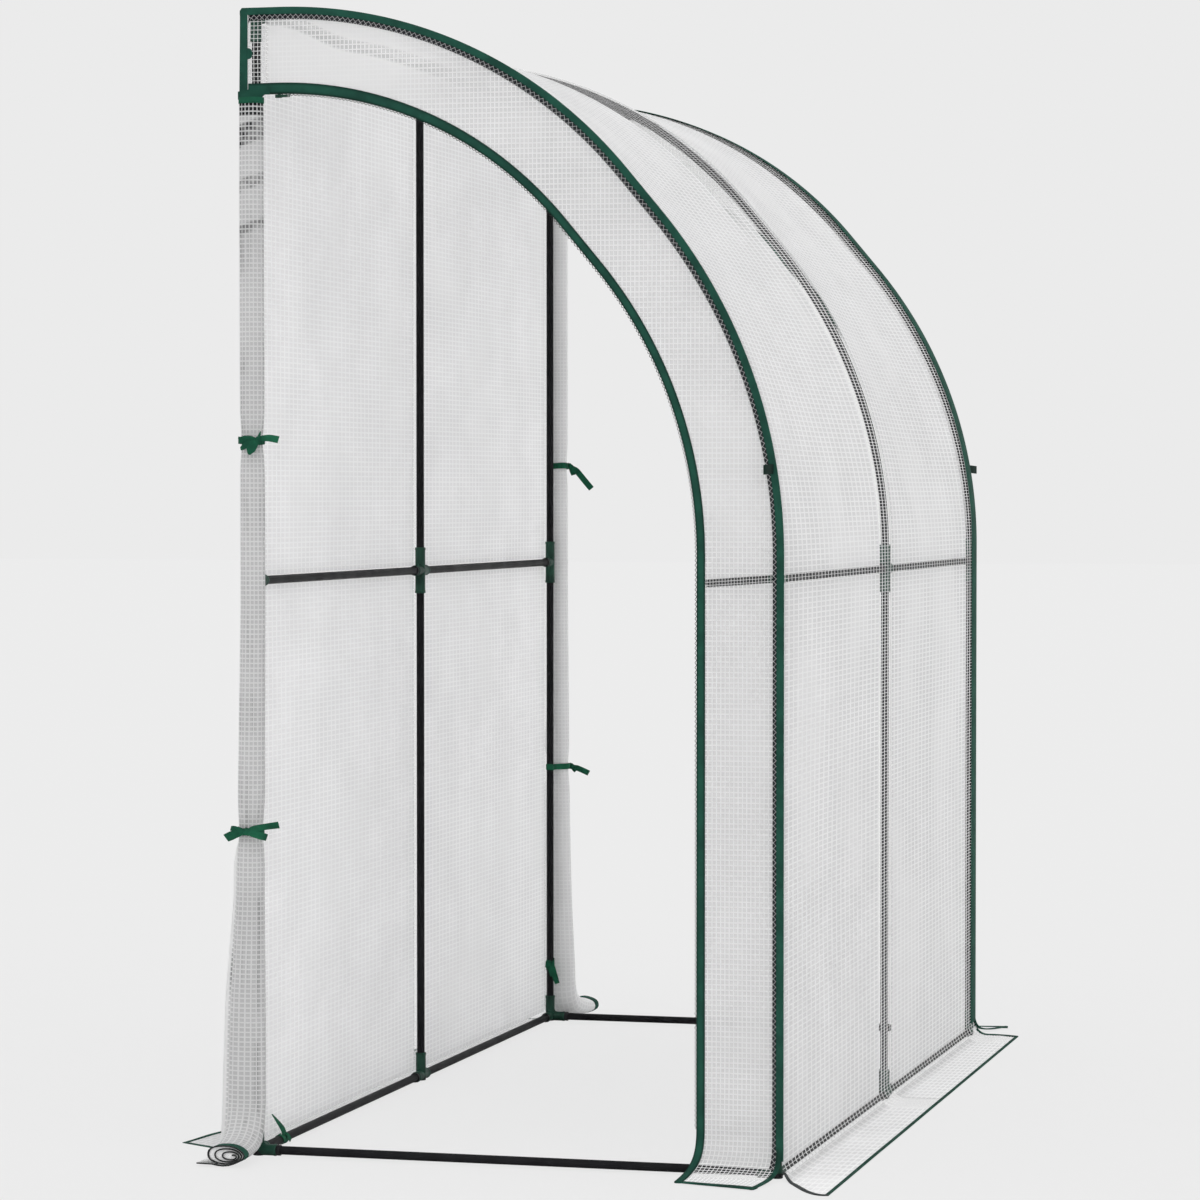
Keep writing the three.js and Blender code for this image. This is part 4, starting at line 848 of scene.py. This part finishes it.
def build_end_strip(name, side):
    """The sheet round a doorway. Its weave follows x and z laid flat; its Hoop layer holds n, the
    distance across it, and the distance along the hoop."""
    columns = np.linspace(0, 1, 19)
    ns = lerp(-STRIP, STRIP_OUTER, columns)
    rows, weave, hoop = [], [], []
    for a in corner_angles():
        x, top = corner_at(a, STRIP_OUTER)
        rows.append([(x, 0, z) for z in lerp(RIDGE - STRIP, top, columns)])
        weave.append([(x, z) for _, _, z in rows[-1]])
        hoop.append([(n, x) for n in ns])
    for s in arch_points(RUN_HIGH, RUN_GROUND - SWEEP_TOP, 0.014):
        weave.append([beside_hoop(s, n) for n in ns])
        rows.append([(x, 0, z) for x, z in weave[-1]])
        hoop.append([(n, s) for n in ns])
    upright = len(rows)
    lines = np.array([[sweep(k / SWEEP_STEPS, lerp(SWEEP_REACH, 0.133, t), t)[:2]
                       for k in range(SWEEP_STEPS + 1)] for t in columns])
    downs = SWEEP_TOP - np.array([runs(line) for line in lines])
    draw = lerp(0.018, 0.023 if side < 0 else -0.055, columns)
    for (out, up), down in zip(lines.transpose(1, 2, 0)[1:], downs.T[1:]):
        rows.append(np.c_[DEPTH + ns - draw * out / lines[:, -1, 0], out, up])
        weave.append(np.c_[DEPTH + ns, down])
        hoop.append(np.c_[ns, RUN_GROUND - down])
    p, weave, hoop = np.array(rows), np.array(weave), np.array(hoop)
    p[:, :, 1] = side * (SPACING + MIDDLE + p[:, :, 1])
    ripple = ripples(p[upright:, :, 0] * 2, p[upright:, :, 1], 31 if side < 0 else 37, 0.3, 2)
    p[upright:, :, 2] += ripple * 0.001
    # the strip bows out a little between its two tapes
    inside = swell((hoop[:, :, 0] + STRIP) / (STRIP - 0.012), 1.5)
    bow = inside * (0.0012 + 0.0012 * waves(weave[:, :, 0], weave[:, :, 1], 41 if side < 0 else 43, 0.3))
    p[:upright, :, 1] += side * bow[:upright]
    sheet = thin_sheet(p, weave, hoop).done(f"end_strip_{name}", "end", (f"end_frame_sheet_{name}",))
    edge_tape(f"end_flap_edge_{name}", p[-1], (0, side, 0), 0.020, thick=0.0034)
    edge_tape(f"end_flap_side_{name}", p[upright - 2:, -1], (1, 0, 0), 0.009, thick=0.003)


# --- tapes
def end_ring(side, outline):
    """Points of an outline of x, z and the distance out from an end hoop's plane."""
    return [(x, side * (SPACING + out), z) for x, z, out in outline]


def hoop_ring(side, outline, place, value):
    """The same for an outline of n and out at a place on the hoop's line."""
    return end_ring(side, [(*place(value, n), out) for n, out in outline])


def build_opening_binding(name, side):
    """Tape folded over the strip's inner edge, with a coil zip along the edge."""
    edge = -STRIP - 0.0003
    inner = edge - 0.001
    leg = inner + 0.014
    back = STRIP_OUTER - 0.001
    outline = [
        (leg, TAPE_IN), (leg - 0.0002, TAPE_OUT - 0.0002), (leg - 0.0012, TAPE_OUT + 0.0001),
        (lerp(leg, inner, 0.5), TAPE_OUT + 0.0004), (inner + 0.0012, TAPE_OUT + 0.0001),
        (inner + 0.0003, TAPE_OUT - 0.0002), (inner, TAPE_OUT - 0.0009), (inner, back + 0.0009),
        (inner + 0.0003, back + 0.0002), (inner + 0.0012, back - 0.0001),
        (lerp(leg, inner, 0.5), back - 0.0003), (leg - 0.0012, back), (leg - 0.0002, back + 0.0002),
        (leg, STRIP_OUTER), (edge, STRIP_OUTER), (edge, TAPE_IN)]
    low_spread = 1.12
    rings = []
    for i, s in enumerate([-STRIP_OUTER] + arch_points(RUN_HIGH, RUN_GROUND - SWEEP_TOP, 0.012)):
        spread = lerp(1.5, low_spread, smooth(i / 70))
        wider = [(inner + (n - inner) * spread, out) for n, out in outline]
        rings.append(hoop_ring(side, wider, beside_hoop, s))
    for k in range(1, SWEEP_STEPS + 1):
        out, up, to_out, to_up = sweep(k / SWEEP_STEPS, SWEEP_REACH)
        x = DEPTH + inner - 0.018 * out / SWEEP_REACH
        rings.append(end_ring(side, [(x + (n - inner) * low_spread, up + to_up * (off - MIDDLE),
                                      MIDDLE + out + to_out * (off - MIDDLE)) for n, off in outline]))
    rings = np.array(rings)
    uv = uv_grid(np.array([leg - n for n, _ in outline]), runs(rings[:, 3]))
    Parts().loft(rings, uv).done(f"opening_tape_{name}", "opening", (f"opening_binding_{name}",), 50)
    # patch sewn over the corner at the wall
    border = np.array([
        (-0.0312, 1.9775), (-0.0159, 1.9803), (0.0077, 1.9826), (0.0312, 1.9837), (0.0312, 1.9706),
        (0.0214, 1.9708), (0.0155, 1.9658), (0.0057, 1.9631), (-0.0139, 1.9599), (-0.0238, 1.9565),
        (-0.0287, 1.9584), (-0.0312, 1.964)])
    layers = []
    for scale, lift in ((1, -0.0004), (1, 0.0007), (0.97, 0.0011)):
        flat = border.mean(0) + (border - border.mean(0)) * scale
        layers.append(end_ring(side, [(x, z, TAPE_OUT + lift) for x, z in flat]))
    around = np.stack([border - border.min(0)] * 3)
    Parts().loft(layers, around).done(f"corner_patch_{name}", "tape", angle=40)
    # coil zip: a thread wound along the tape's edge, in four points to the turn
    coil = []
    for i, s in enumerate(arch_points(RUN_HIGH, RUN_GROUND - SWEEP_TOP, 0.0022)):
        turn = i * 2 * math.pi / 4
        at = [(inner - 0.0018 + 0.0015 * math.cos(turn), (back + TAPE_OUT) / 2 + 0.0009 * math.sin(turn))]
        coil += hoop_ring(side, at, beside_hoop, s)
    Parts().loft(tube_rings(coil, 0.0006, 5)).done(f"zip_coil_{name}", "zip")


def build_hoop_binding(name, side):
    """Corner tape between roof sheet and end strip, down to the ground fold."""
    inner = TAPE_OUT - TAPE_WIDTH
    roof = TAPE_OUT - (0.006 if side < 0 else 0.060)
    outline = [
        (inner, TAPE_IN), (inner + 0.0001, TAPE_OUT - 0.0002), (inner + 0.001, TAPE_OUT + 0.0001),
        (lerp(inner, TAPE_OUT, 0.5), TAPE_OUT + 0.0005), (TAPE_OUT - 0.0014, TAPE_OUT + 0.0001),
        (TAPE_OUT - 0.0004, TAPE_OUT - 0.0004), (TAPE_OUT + 0.0001, TAPE_OUT - 0.0014),
        (TAPE_OUT + 0.0004, lerp(roof, TAPE_OUT, 0.5)), (TAPE_OUT + 0.0001, roof + 0.001),
        (TAPE_OUT - 0.0002, roof + 0.0001), (TAPE_IN, roof), (TAPE_IN, TAPE_IN)]
    above_fold = 0.0013
    stops = arch_points(RUN_HIGH, RUN_GROUND - FOLD_TOP - above_fold, 0.012)
    rings = np.array([hoop_ring(side, outline, corner_at, a) for a in corner_angles(8)]
                     + [hoop_ring(side, outline, beside_hoop, s) for s in stops])
    u = np.array([n - inner if out > TAPE_IN - 1e-6 and n < TAPE_OUT else out - roof for n, out in outline])
    parts = Parts().loft(rings, uv_grid(u, runs(rings[:, 3])))
    # the flat tape beside the strip at the wall, with its top corner cut off
    right, length, steps = -0.0123, 0.173, 14
    rows = []
    for i in range(steps + 1):
        left = -0.0270 - 0.0015 * smooth(i / steps) + (0.006 if i == 0 else 0)
        z = RIDGE + SHEET_OUT - length * i / steps
        rows.append(end_ring(side, [
            (left, z, TAPE_IN), (left, z, TAPE_OUT), (lerp(left, right, 0.5), z, TAPE_OUT + 0.0004),
            (right, z, TAPE_OUT), (right, z, TAPE_IN)]))
    rows = np.array(rows)
    parts.loft(rows, uv_grid(np.array([0.0, 0.0, TAPE_WIDTH / 2, TAPE_WIDTH, TAPE_WIDTH]), runs(rows[:, 2])))
    # the corner square where both tapes meet, and a small tab under it
    square = []
    for x in np.linspace(-0.0272, 0.004, 9):
        rounding = 0.005 * (1 - math.sqrt(max(0.0, 1 - max(0.0, (-0.0222 - x) / 0.005) ** 2)))
        low, high = RIDGE + 0.0004, RIDGE + 0.0137 - rounding
        square.append(end_ring(side, [
            (x, low, TAPE_IN), (x, low, TAPE_OUT + 0.0003), (x, lerp(low, high, 0.5), TAPE_OUT + 0.0006),
            (x, high, TAPE_OUT + 0.0003), (x, high, TAPE_IN)]))
    parts.loft(square)
    tab, left, face = [], -0.0132, TAPE_OUT + 0.0006
    for a in np.linspace(0, math.pi, 11):
        z = 2.047 + 0.0102 * math.cos(a)
        x = -0.0126 + max(0.0004, 0.0098 * max(0.0, math.sin(a)) ** 0.7)
        tab.append(end_ring(side, [(left, z, TAPE_IN), (left, z, face), (x, z, face), (x, z, TAPE_IN)]))
    parts.loft(tab)
    parts.done(f"hoop_tape_{name}", "tape", (f"hoop_binding_{name}",), 50)


def build_guy_loop(name, side):
    """A ribbon sewn under the corner tape and doubled back into an open loop."""
    height, half_length, swing = (1.278, 0.0275, -0.0045) if side < 0 else (1.288, 0.036, 0.0075)
    lean = math.asin((height - SPRING) / LOW_R)
    x = DEPTH - LOW_R * (1 - math.cos(lean)) + TAPE_OUT - 0.0065
    a = np.linspace(0, 2 * math.pi, 33)
    bow = np.sin(a / 2)
    gap = 0.0011 + 0.0042 * bow ** 2
    out = TAPE_IN + 0.0006 + half_length * (1 - np.cos(a))
    p = np.c_[x + swing * bow + gap * np.cos(a / 2), side * (SPACING + out), height - 0.002 * bow ** 2]
    Parts().loft(*strip_rings(p, None, 0.017, 0.0009)).done(f"guy_loop_{name}", "loop", angle=60)


# --- rolled doors
# shares of the height, and there the roll's middle and half its width, in widths of the roll
ROLLS = {
    "near": ((0.06, 0.15, 0.245, 0.52, 1), (-0.24, -0.2, -0.08, 0.05, 0.04), (0.8, 0.74, 0.58, 0.51, 0.5)),
    "far": ((0.06, 0.15, 0.245, 0.52, 1), (0.32, 0.25, 0.22, 0.18, 0.16), (0.7, 0.6, 0.54, 0.48, 0.48)),
}
# each tie's height, its knot's place in shares of the roll's half width and depth, and its loose
# ends: points after the knot and widths, in millimetres
TIES = {
    ("near", "upper"): (1.331, (0.72, 0.85), [
        ([(-14, 3, 3), (-25, 5, 2), (-36, 2, -2)], (6, 13, 15, 16)),
        ([(-16, 4, -4), (-26, 6, -11), (-34, 3, -16)], (6, 12, 12, 6)),
        ([(-7, 5, -7), (-12, 7, -17), (-16, 5, -27)], (8, 18, 17, 3)),
        ([(8, 3, 4), (24, 5, 5), (44, 2, 1)], (6, 10, 13, 14)),
        ([(4, 3, 7), (6, 4, 12), (8, 4, 18)], (8, 6, 4, 1))]),
    ("near", "lower"): (0.609, (0.12, 1), [
        ([(-14, 4, -1), (-30, 6, -8), (-42, 2, -13)], (6, 15, 17, 16)),
        ([(-12, 3, 3), (-24, 3, 6), (-32, 1, 6)], (6, 10, 10, 9)),
        ([(14, 4, 6), (40, 7, 11), (68, 3, 15)], (6, 12, 12, 14)),
        ([(12, 3, -2), (28, 4, -6), (43, 2, -10)], (6, 13, 14, 13))]),
    ("far", "upper"): (1.296, (0.86, 0.5), [
        ([(16, 2, -10), (34, 3, -32), (55, 2, -56)], (8, 14, 14, 14)),
        ([(5, 4, -10), (8, 4, -22)], (8, 14, 10))]),
    ("far", "lower"): (0.593, (0.86, 0.5), [
        ([(13, 2, -4), (28, 3, -10), (44, 2, -17)], (7, 13, 13, 13)),
        ([(5, 4, -6), (10, 4, -13)], (8, 12, 10))]),
}
TURNS = 3.6
TURN_STEPS = 24
END_ANGLE = math.radians(-120)
END_SHIFT = {"near": -0.003, "far": 0.024}


def roll_at(name, height):
    """Middle and half width of a roll at a height."""
    shares, middles, halves = ROLLS[name]
    return [float(np.interp(height / ROLL_TOP, shares, values)) * ROLL_W for values in (middles, halves)]


def spiral(half, depth, tip, height, seed, loose):
    """Wound line of the sheet from its core out to its free tip; loose lets the turns drift apart."""
    count = int(TURNS * TURN_STEPS)
    share = np.arange(count + 1) / count
    angle = END_ANGLE + (1 - share) * TURNS * 2 * math.pi
    reach = lerp(0.14, 1.0, share ** 0.92)
    fold = 0.974 + 0.030 * np.sin(3 * angle + 1.7 * math.sin(height * 2.1) + seed) * share
    fold += 0.022 * np.sin(5 * angle + height * 3.3 + seed * 2) * share
    x = (half - THIN) * reach * fold * np.cos(angle) + half * 0.5 * loose * (1 - reach)
    y = (depth - THIN) * reach * fold * np.sin(angle) - depth * 0.16 * loose * (1 - reach)
    line = np.c_[x, y]
    return np.vstack([line] + [lerp(line[-1], tip, t) for t in (0.35, 0.7, 1.0)])


def roll_rings(name, side, first=0, last=None, outer=THIN / 2, inner=-THIN / 2):
    """Rings of a roll from one level to another: down the post, round the bend and over the floor."""
    depth = ROLL_D / 2
    bend_height = depth + 0.0017 + ROLL_BEND
    ties = np.array([TIES[name, which][0] for which in ("upper", "lower")])
    levels = [(h, 0.0, 0.0) for h in (*np.arange(ROLL_TOP, bend_height, -0.03), bend_height)]
    levels += [(bend_height, i * math.pi / 16, 0.0) for i in range(1, 9)]
    levels += [(bend_height, math.pi / 2, ROLL_FLOOR * i / 8) for i in range(1, 9)]
    rings, uvs, around = [], [], None
    for h, a, run in levels[first:last]:
        centre, half = roll_at(name, lerp(h, 0.0, a * 2 / math.pi))
        centre += END_SHIFT[name] * math.sin(a) ** (1 if side < 0 else 4)
        near_tie = float(np.exp(-((h - ties) / 0.03) ** 2).sum())
        w, d = half * (1 - 0.15 * near_tie), depth * (1 - 0.15 * near_tie)
        # the sheet's free edge hangs beside the roll, but lies under its ties and is sewn on above
        sewn = float(smooth(((0 if a else h) - 0.62) / 0.1))
        free = np.array((w * -1.18, d * -0.8))
        held = np.array((-MIDDLE - centre, TAPE_IN + 0.0006 - ROLL_AXIS))
        tied = np.array((w * -0.76, d * -0.66))
        tip = lerp(lerp(free, held, sewn), tied, min(1.0, near_tie) * (1 - sewn))
        line = spiral(w, d, tip, h - run, 1.0 if side < 0 else 2.4, math.sin(a) ** 2)
        t = tangents(line)
        normal = np.c_[-t[:, 1], t[:, 0]]
        x, y = np.concatenate([line + normal * outer, (line + normal * inner)[::-1]]).T
        heel = (math.cos(a) ** 6 + math.sin(a) ** 6) ** (-1 / 6) - 1
        reach = (ROLL_BEND - y) * (1 + heel * np.clip(0.5 - y / (2 * depth), 0, 1))
        out = ROLL_AXIS + ROLL_BEND - reach * math.cos(a) + run
        rings.append(np.c_[centre + x, side * (SPACING + out), h - reach * math.sin(a)])
        if around is None:
            around = np.concatenate([runs(line), runs(line)[::-1]])
        uvs.append(np.c_[around, np.full(len(around), ROLL_TOP - h + ROLL_BEND * a + run)])
    return np.array(rings), np.array(uvs)


def build_roll(name, side):
    rings, uv = roll_rings(name, side)
    # the far roll takes the lightened copy of the cloth, painted light for the shade it hangs in
    look = "roll" if side < 0 else "roll_lightened"
    roll = Parts().loft(rings, uv, True).done(f"rolled_door_{name}", look, (f"door_roll_{name}",))
    # hem band on the outer face, dark rim on the cut edge
    rings, uv = roll_rings(name, side, -8 if side < 0 else -9, None, THIN / 2 + 0.0009, THIN / 2 + 0.0001)
    Parts().loft(rings, uv, True).done(f"rolled_door_hem_{name}", "edge")
    rings, uv = roll_rings(name, side, -2, None, THIN / 2 + 0.0010, -THIN / 2 - 0.0007)
    rings = np.stack([lerp(rings[0], rings[1], 0.7), rings[1] + (0, side * 0.0004, 0)])
    Parts().loft(rings, uv, True).done(f"rolled_door_rim_{name}", "sleeve")
    # the inner folds, pushed back inside the open end
    count = int(TURNS * TURN_STEPS)
    folds = roll_rings(name, side, -4)[0][:, count - TURN_STEPS:count]
    folds = lerp(folds.mean(1, keepdims=True), folds, 0.93)
    folds = np.stack([folds[0], folds[1], lerp(folds[2], folds[3], 0.2)])
    # the folds take the lightened copy too, painted light for the shade inside the roll's open end
    Parts().loft(folds).done(f"rolled_door_folds_{name}", "roll_lightened", angle=40)
    # tape round the head
    rings, uv = roll_rings(name, side, 0, 1, THIN / 2 + 0.0012, -THIN / 2 - 0.0006)
    head = np.stack([rings[0] + (0, 0, up) for up in (0.0085, 0.002, -0.0028)])
    uv = np.stack([uv[0] + (0, down) for down in (0, 0.006, 0.011)])
    Parts().loft(head, uv, True).done(f"rolled_door_head_{name}", "head")


# --- ribbon ties
def ellipse(centre, half, depth, start, end, count):
    a = np.radians(np.linspace(start, end, count + 1))
    return np.c_[centre + half * np.cos(a), ROLL_AXIS + depth * np.sin(a)]


def loose_end(path, widths, count):
    """Points and widths of a ribbon's loose end, from a few that are given in millimetres."""
    def spread(values):
        values = np.array(values) / 1000
        return np.interp(np.linspace(0, 1, count), np.linspace(0, 1, len(values)), values)

    line = np.stack([spread(values) for values in zip(*path)], axis=1)
    return np.array([line[max(0, j - 1):j + 2].mean(0) for j in range(count)]), spread(widths)


def build_tie(name, side, which):
    height, (across_share, out_share), tails = TIES[name, which]
    centre, half = roll_at(name, height)
    half, depth = half * 0.87 + 0.0011, ROLL_D / 2 * 0.87 + 0.0011
    if which == "upper":
        line = ellipse(centre, half, depth, -108, 210, 44)
    else:
        # the lower ribbon also goes round the post
        post = TUBE_R + 0.0011
        a = np.linspace(0, -math.pi, 15)
        round_post = np.c_[post * np.cos(a), post * np.sin(a)]
        round_roll = ellipse(centre, half, depth, *((225, -60) if side < 0 else (200, -50)), 30)
        line = np.vstack([round_post, [[-post, TAPE_IN]], round_roll, [[post, 0.004]], round_post[:1]])
    x, out = line.T
    path = np.c_[x, side * (SPACING + out), height + 0.0012 * np.sin(np.linspace(0, 9, len(x)))]
    parts = Parts().loft(*strip_rings(path, None, 0.0135, 0.0009))
    reach = 0.0055
    knot = np.array((centre + (half + reach * across_share) * across_share,
                     side * (SPACING + ROLL_AXIS + (depth + reach) * out_share), height))
    # knot: a short ribbon wrapped over itself
    out = np.array((0, side, 0))
    a = np.linspace(0, 2 * math.pi, 17)[:, None]
    for tilt, size, wide in ((0.5, 0.0052, 0.011), (-0.6, 0.0046, 0.009)):
        across = np.array((math.cos(tilt), 0, -math.sin(tilt)))
        ring = knot + across * size * 1.15 * np.cos(a) + out * size * 0.8 * np.sin(a)
        parts.loft(*strip_rings(ring, across * np.cos(a) + out * np.sin(a), wide, 0.0016))
    for i, (path, widths) in enumerate(tails):
        line, wide = loose_end([(0, 0, 0)] + path, widths, 13)
        points = knot + np.c_[line[:, 0], side * (line[:, 1] + 0.0012 * i), line[:, 2]]
        twist = np.linspace(0, 0.45, len(points)) * (1 if i % 2 else -1)
        normal = np.c_[np.zeros(len(points)), side * np.cos(twist), np.sin(twist)]
        parts.loft(*strip_rings(points, normal, wide, 0.0008))
    parts.done(f"ribbon_tie_{which}_{name}", "ribbon", (f"door_tie_{which}_{name}",), 60)


def frame_ribbon(name, centre, axis, tails):
    """A ribbon knotted round a tube: two turns side by side and its loose ends."""
    c, axis = np.array(centre, float), np.array(axis, float)
    first = unit(np.cross(axis, (0.3, 0.5, 0.8)))
    a = np.linspace(0, 2 * math.pi, 25)[:, None]
    normal = first * np.cos(a) + np.cross(axis, first) * np.sin(a)
    parts = Parts()
    for shift, lean, radius in ((-0.006, 0.005, 0.0091), (0.006, -0.006, 0.0098)):
        p = c + normal * radius + axis * (shift + lean * np.sin(a))
        parts.loft(*strip_rings(p, normal, 0.0125, 0.0008))
    for path, widths, face in tails:
        line, wide = loose_end(path, widths, 15)
        parts.loft(*strip_rings(c + line, face, wide, 0.0008))
    parts.done(name, "ribbon", angle=60)


def build_frame_ribbons():
    frame_ribbon("frame_ribbon_near", (0, -0.872, FOOT), (0, 1, 0), [
        ([(6, 0, 7), (7, -12, 20), (4, -34, 38), (1, -62, 58)], (12, 11, 7, 1.2), (0.9, -0.45, 0.0)),
        ([(4, 4, 8), (10, 10, 4), (12, 18, -6)], (11, 10, 9), (0.9, -0.3, 0.3))])
    frame_ribbon("frame_ribbon_far", (0, 1, 0.128), (0, 0, 1), [
        ([(5, -9, 10), (9, -12, -3), (15, -14, -21), (22, -14, -42)], (10, 13, 13, 11), (0.2, -1.0, 0.1)),
        ([(1, -10, 14), (-1, -13, 8), (-3, -13, -4)], (10, 13, 12), (0.0, -1.0, 0.2)),
        ([(3, -10, 8), (6, -14, -8), (10, -16, -24)], (10, 12, 10), (0.3, -1.0, 0))])


# --- zip slider and pull keep their CAD shape
def dress_cad():
    for side in SIDES:
        for part in ("zip_slider", "zip_pull"):
            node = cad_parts[f"{part}_{side}"]
            node.data.materials.clear()
            node.data.materials.append(LOOKS["slider"][1])


# --- stage, light and camera
BACKGROUND = (0.831, 0.831, 0.831, 1)


def build_stage():
    m, n = material("studio_floor")
    soft = n.noise(n.place(), 3.0, 2.0).ramp(0.2, 0.8)
    ground = n.surface(n.mix(soft, (0.76, 0.76, 0.76, 1), (0.768, 0.768, 0.768, 1)), 0.9, 0.1)
    seen = n.add("ShaderNodeLightPath", output="Is Camera Ray") * 0.87
    n.out(n.over(seen, ground, n.shader("Emission", BACKGROUND, {"Strength": 1.0})))
    mesh = bpy.data.meshes.new("studio_floor")
    size = 60.0
    mesh.from_pydata([(x * size, y * size, 0) for x, y in ((-1, -1), (1, -1), (1, 1), (-1, 1))],
                     [], [(0, 1, 2, 3)])
    mesh.materials.append(m)
    floor = bpy.data.objects.new("studio_floor", mesh)
    floor.location = (0, 0, -0.0002)
    bpy.context.scene.collection.objects.link(floor)


def build_light():
    world = bpy.data.worlds.new("studio")
    bpy.context.scene.world = world
    n = Nodes(world)
    camera, glossy = [n.add("ShaderNodeLightPath", output=f"Is {ray} Ray") for ray in ("Camera", "Glossy")]
    n.out(n.over(camera.max(glossy), n.shader("Background", (1, 1, 1, 1), {"Strength": 1.08}),
                 n.shader("Background", BACKGROUND, {"Strength": 1.0})), "World")
    for name, energy, angle, aim in (
            ("key", 0.42, 60, (-0.42, 0.6, -0.8)), ("fill", 0.12, 70, (0.35, 0.8, -0.3))):
        lamp = bpy.data.lights.new(name, "SUN")
        lamp.energy = energy
        lamp.angle = math.radians(angle)
        obj = bpy.data.objects.new(name, lamp)
        obj.rotation_mode = "QUATERNION"
        obj.rotation_quaternion = Vector(aim).to_track_quat("-Z", "Y")
        bpy.context.scene.collection.objects.link(obj)


def build_camera():
    yaw, pitch = 0.2631, 0.027
    forward = Vector((-math.sin(yaw) * math.cos(pitch), math.cos(yaw) * math.cos(pitch), -math.sin(pitch)))
    right = Vector((math.cos(yaw), math.sin(yaw), 0))
    place = Matrix((right, right.cross(forward), -forward)).transposed().to_4x4()
    place.translation = 2.584, -8.1454, 1.2402
    camera = bpy.data.cameras.new("camera")
    camera.sensor_fit = "HORIZONTAL"
    camera.sensor_width = 36
    camera.lens = 4073.9 / 1200 * 36
    camera.clip_end = 200
    obj = bpy.data.objects.new("camera", camera)
    obj.matrix_world = place
    bpy.context.scene.collection.objects.link(obj)
    bpy.context.scene.camera = obj


build_camera()
build_light()
build_stage()
build_tubes()
build_connectors()
build_roof_sheet()
build_back_sheet()
for end, side in SIDES.items():
    build_end_strip(end, side)
    build_opening_binding(end, side)
    build_hoop_binding(end, side)
    build_guy_loop(end, side)
    build_roll(end, side)
    for which in ("upper", "lower"):
        build_tie(end, side, which)
build_frame_ribbons()
dress_cad()
bpy.context.scene.view_settings.view_transform = "Standard"
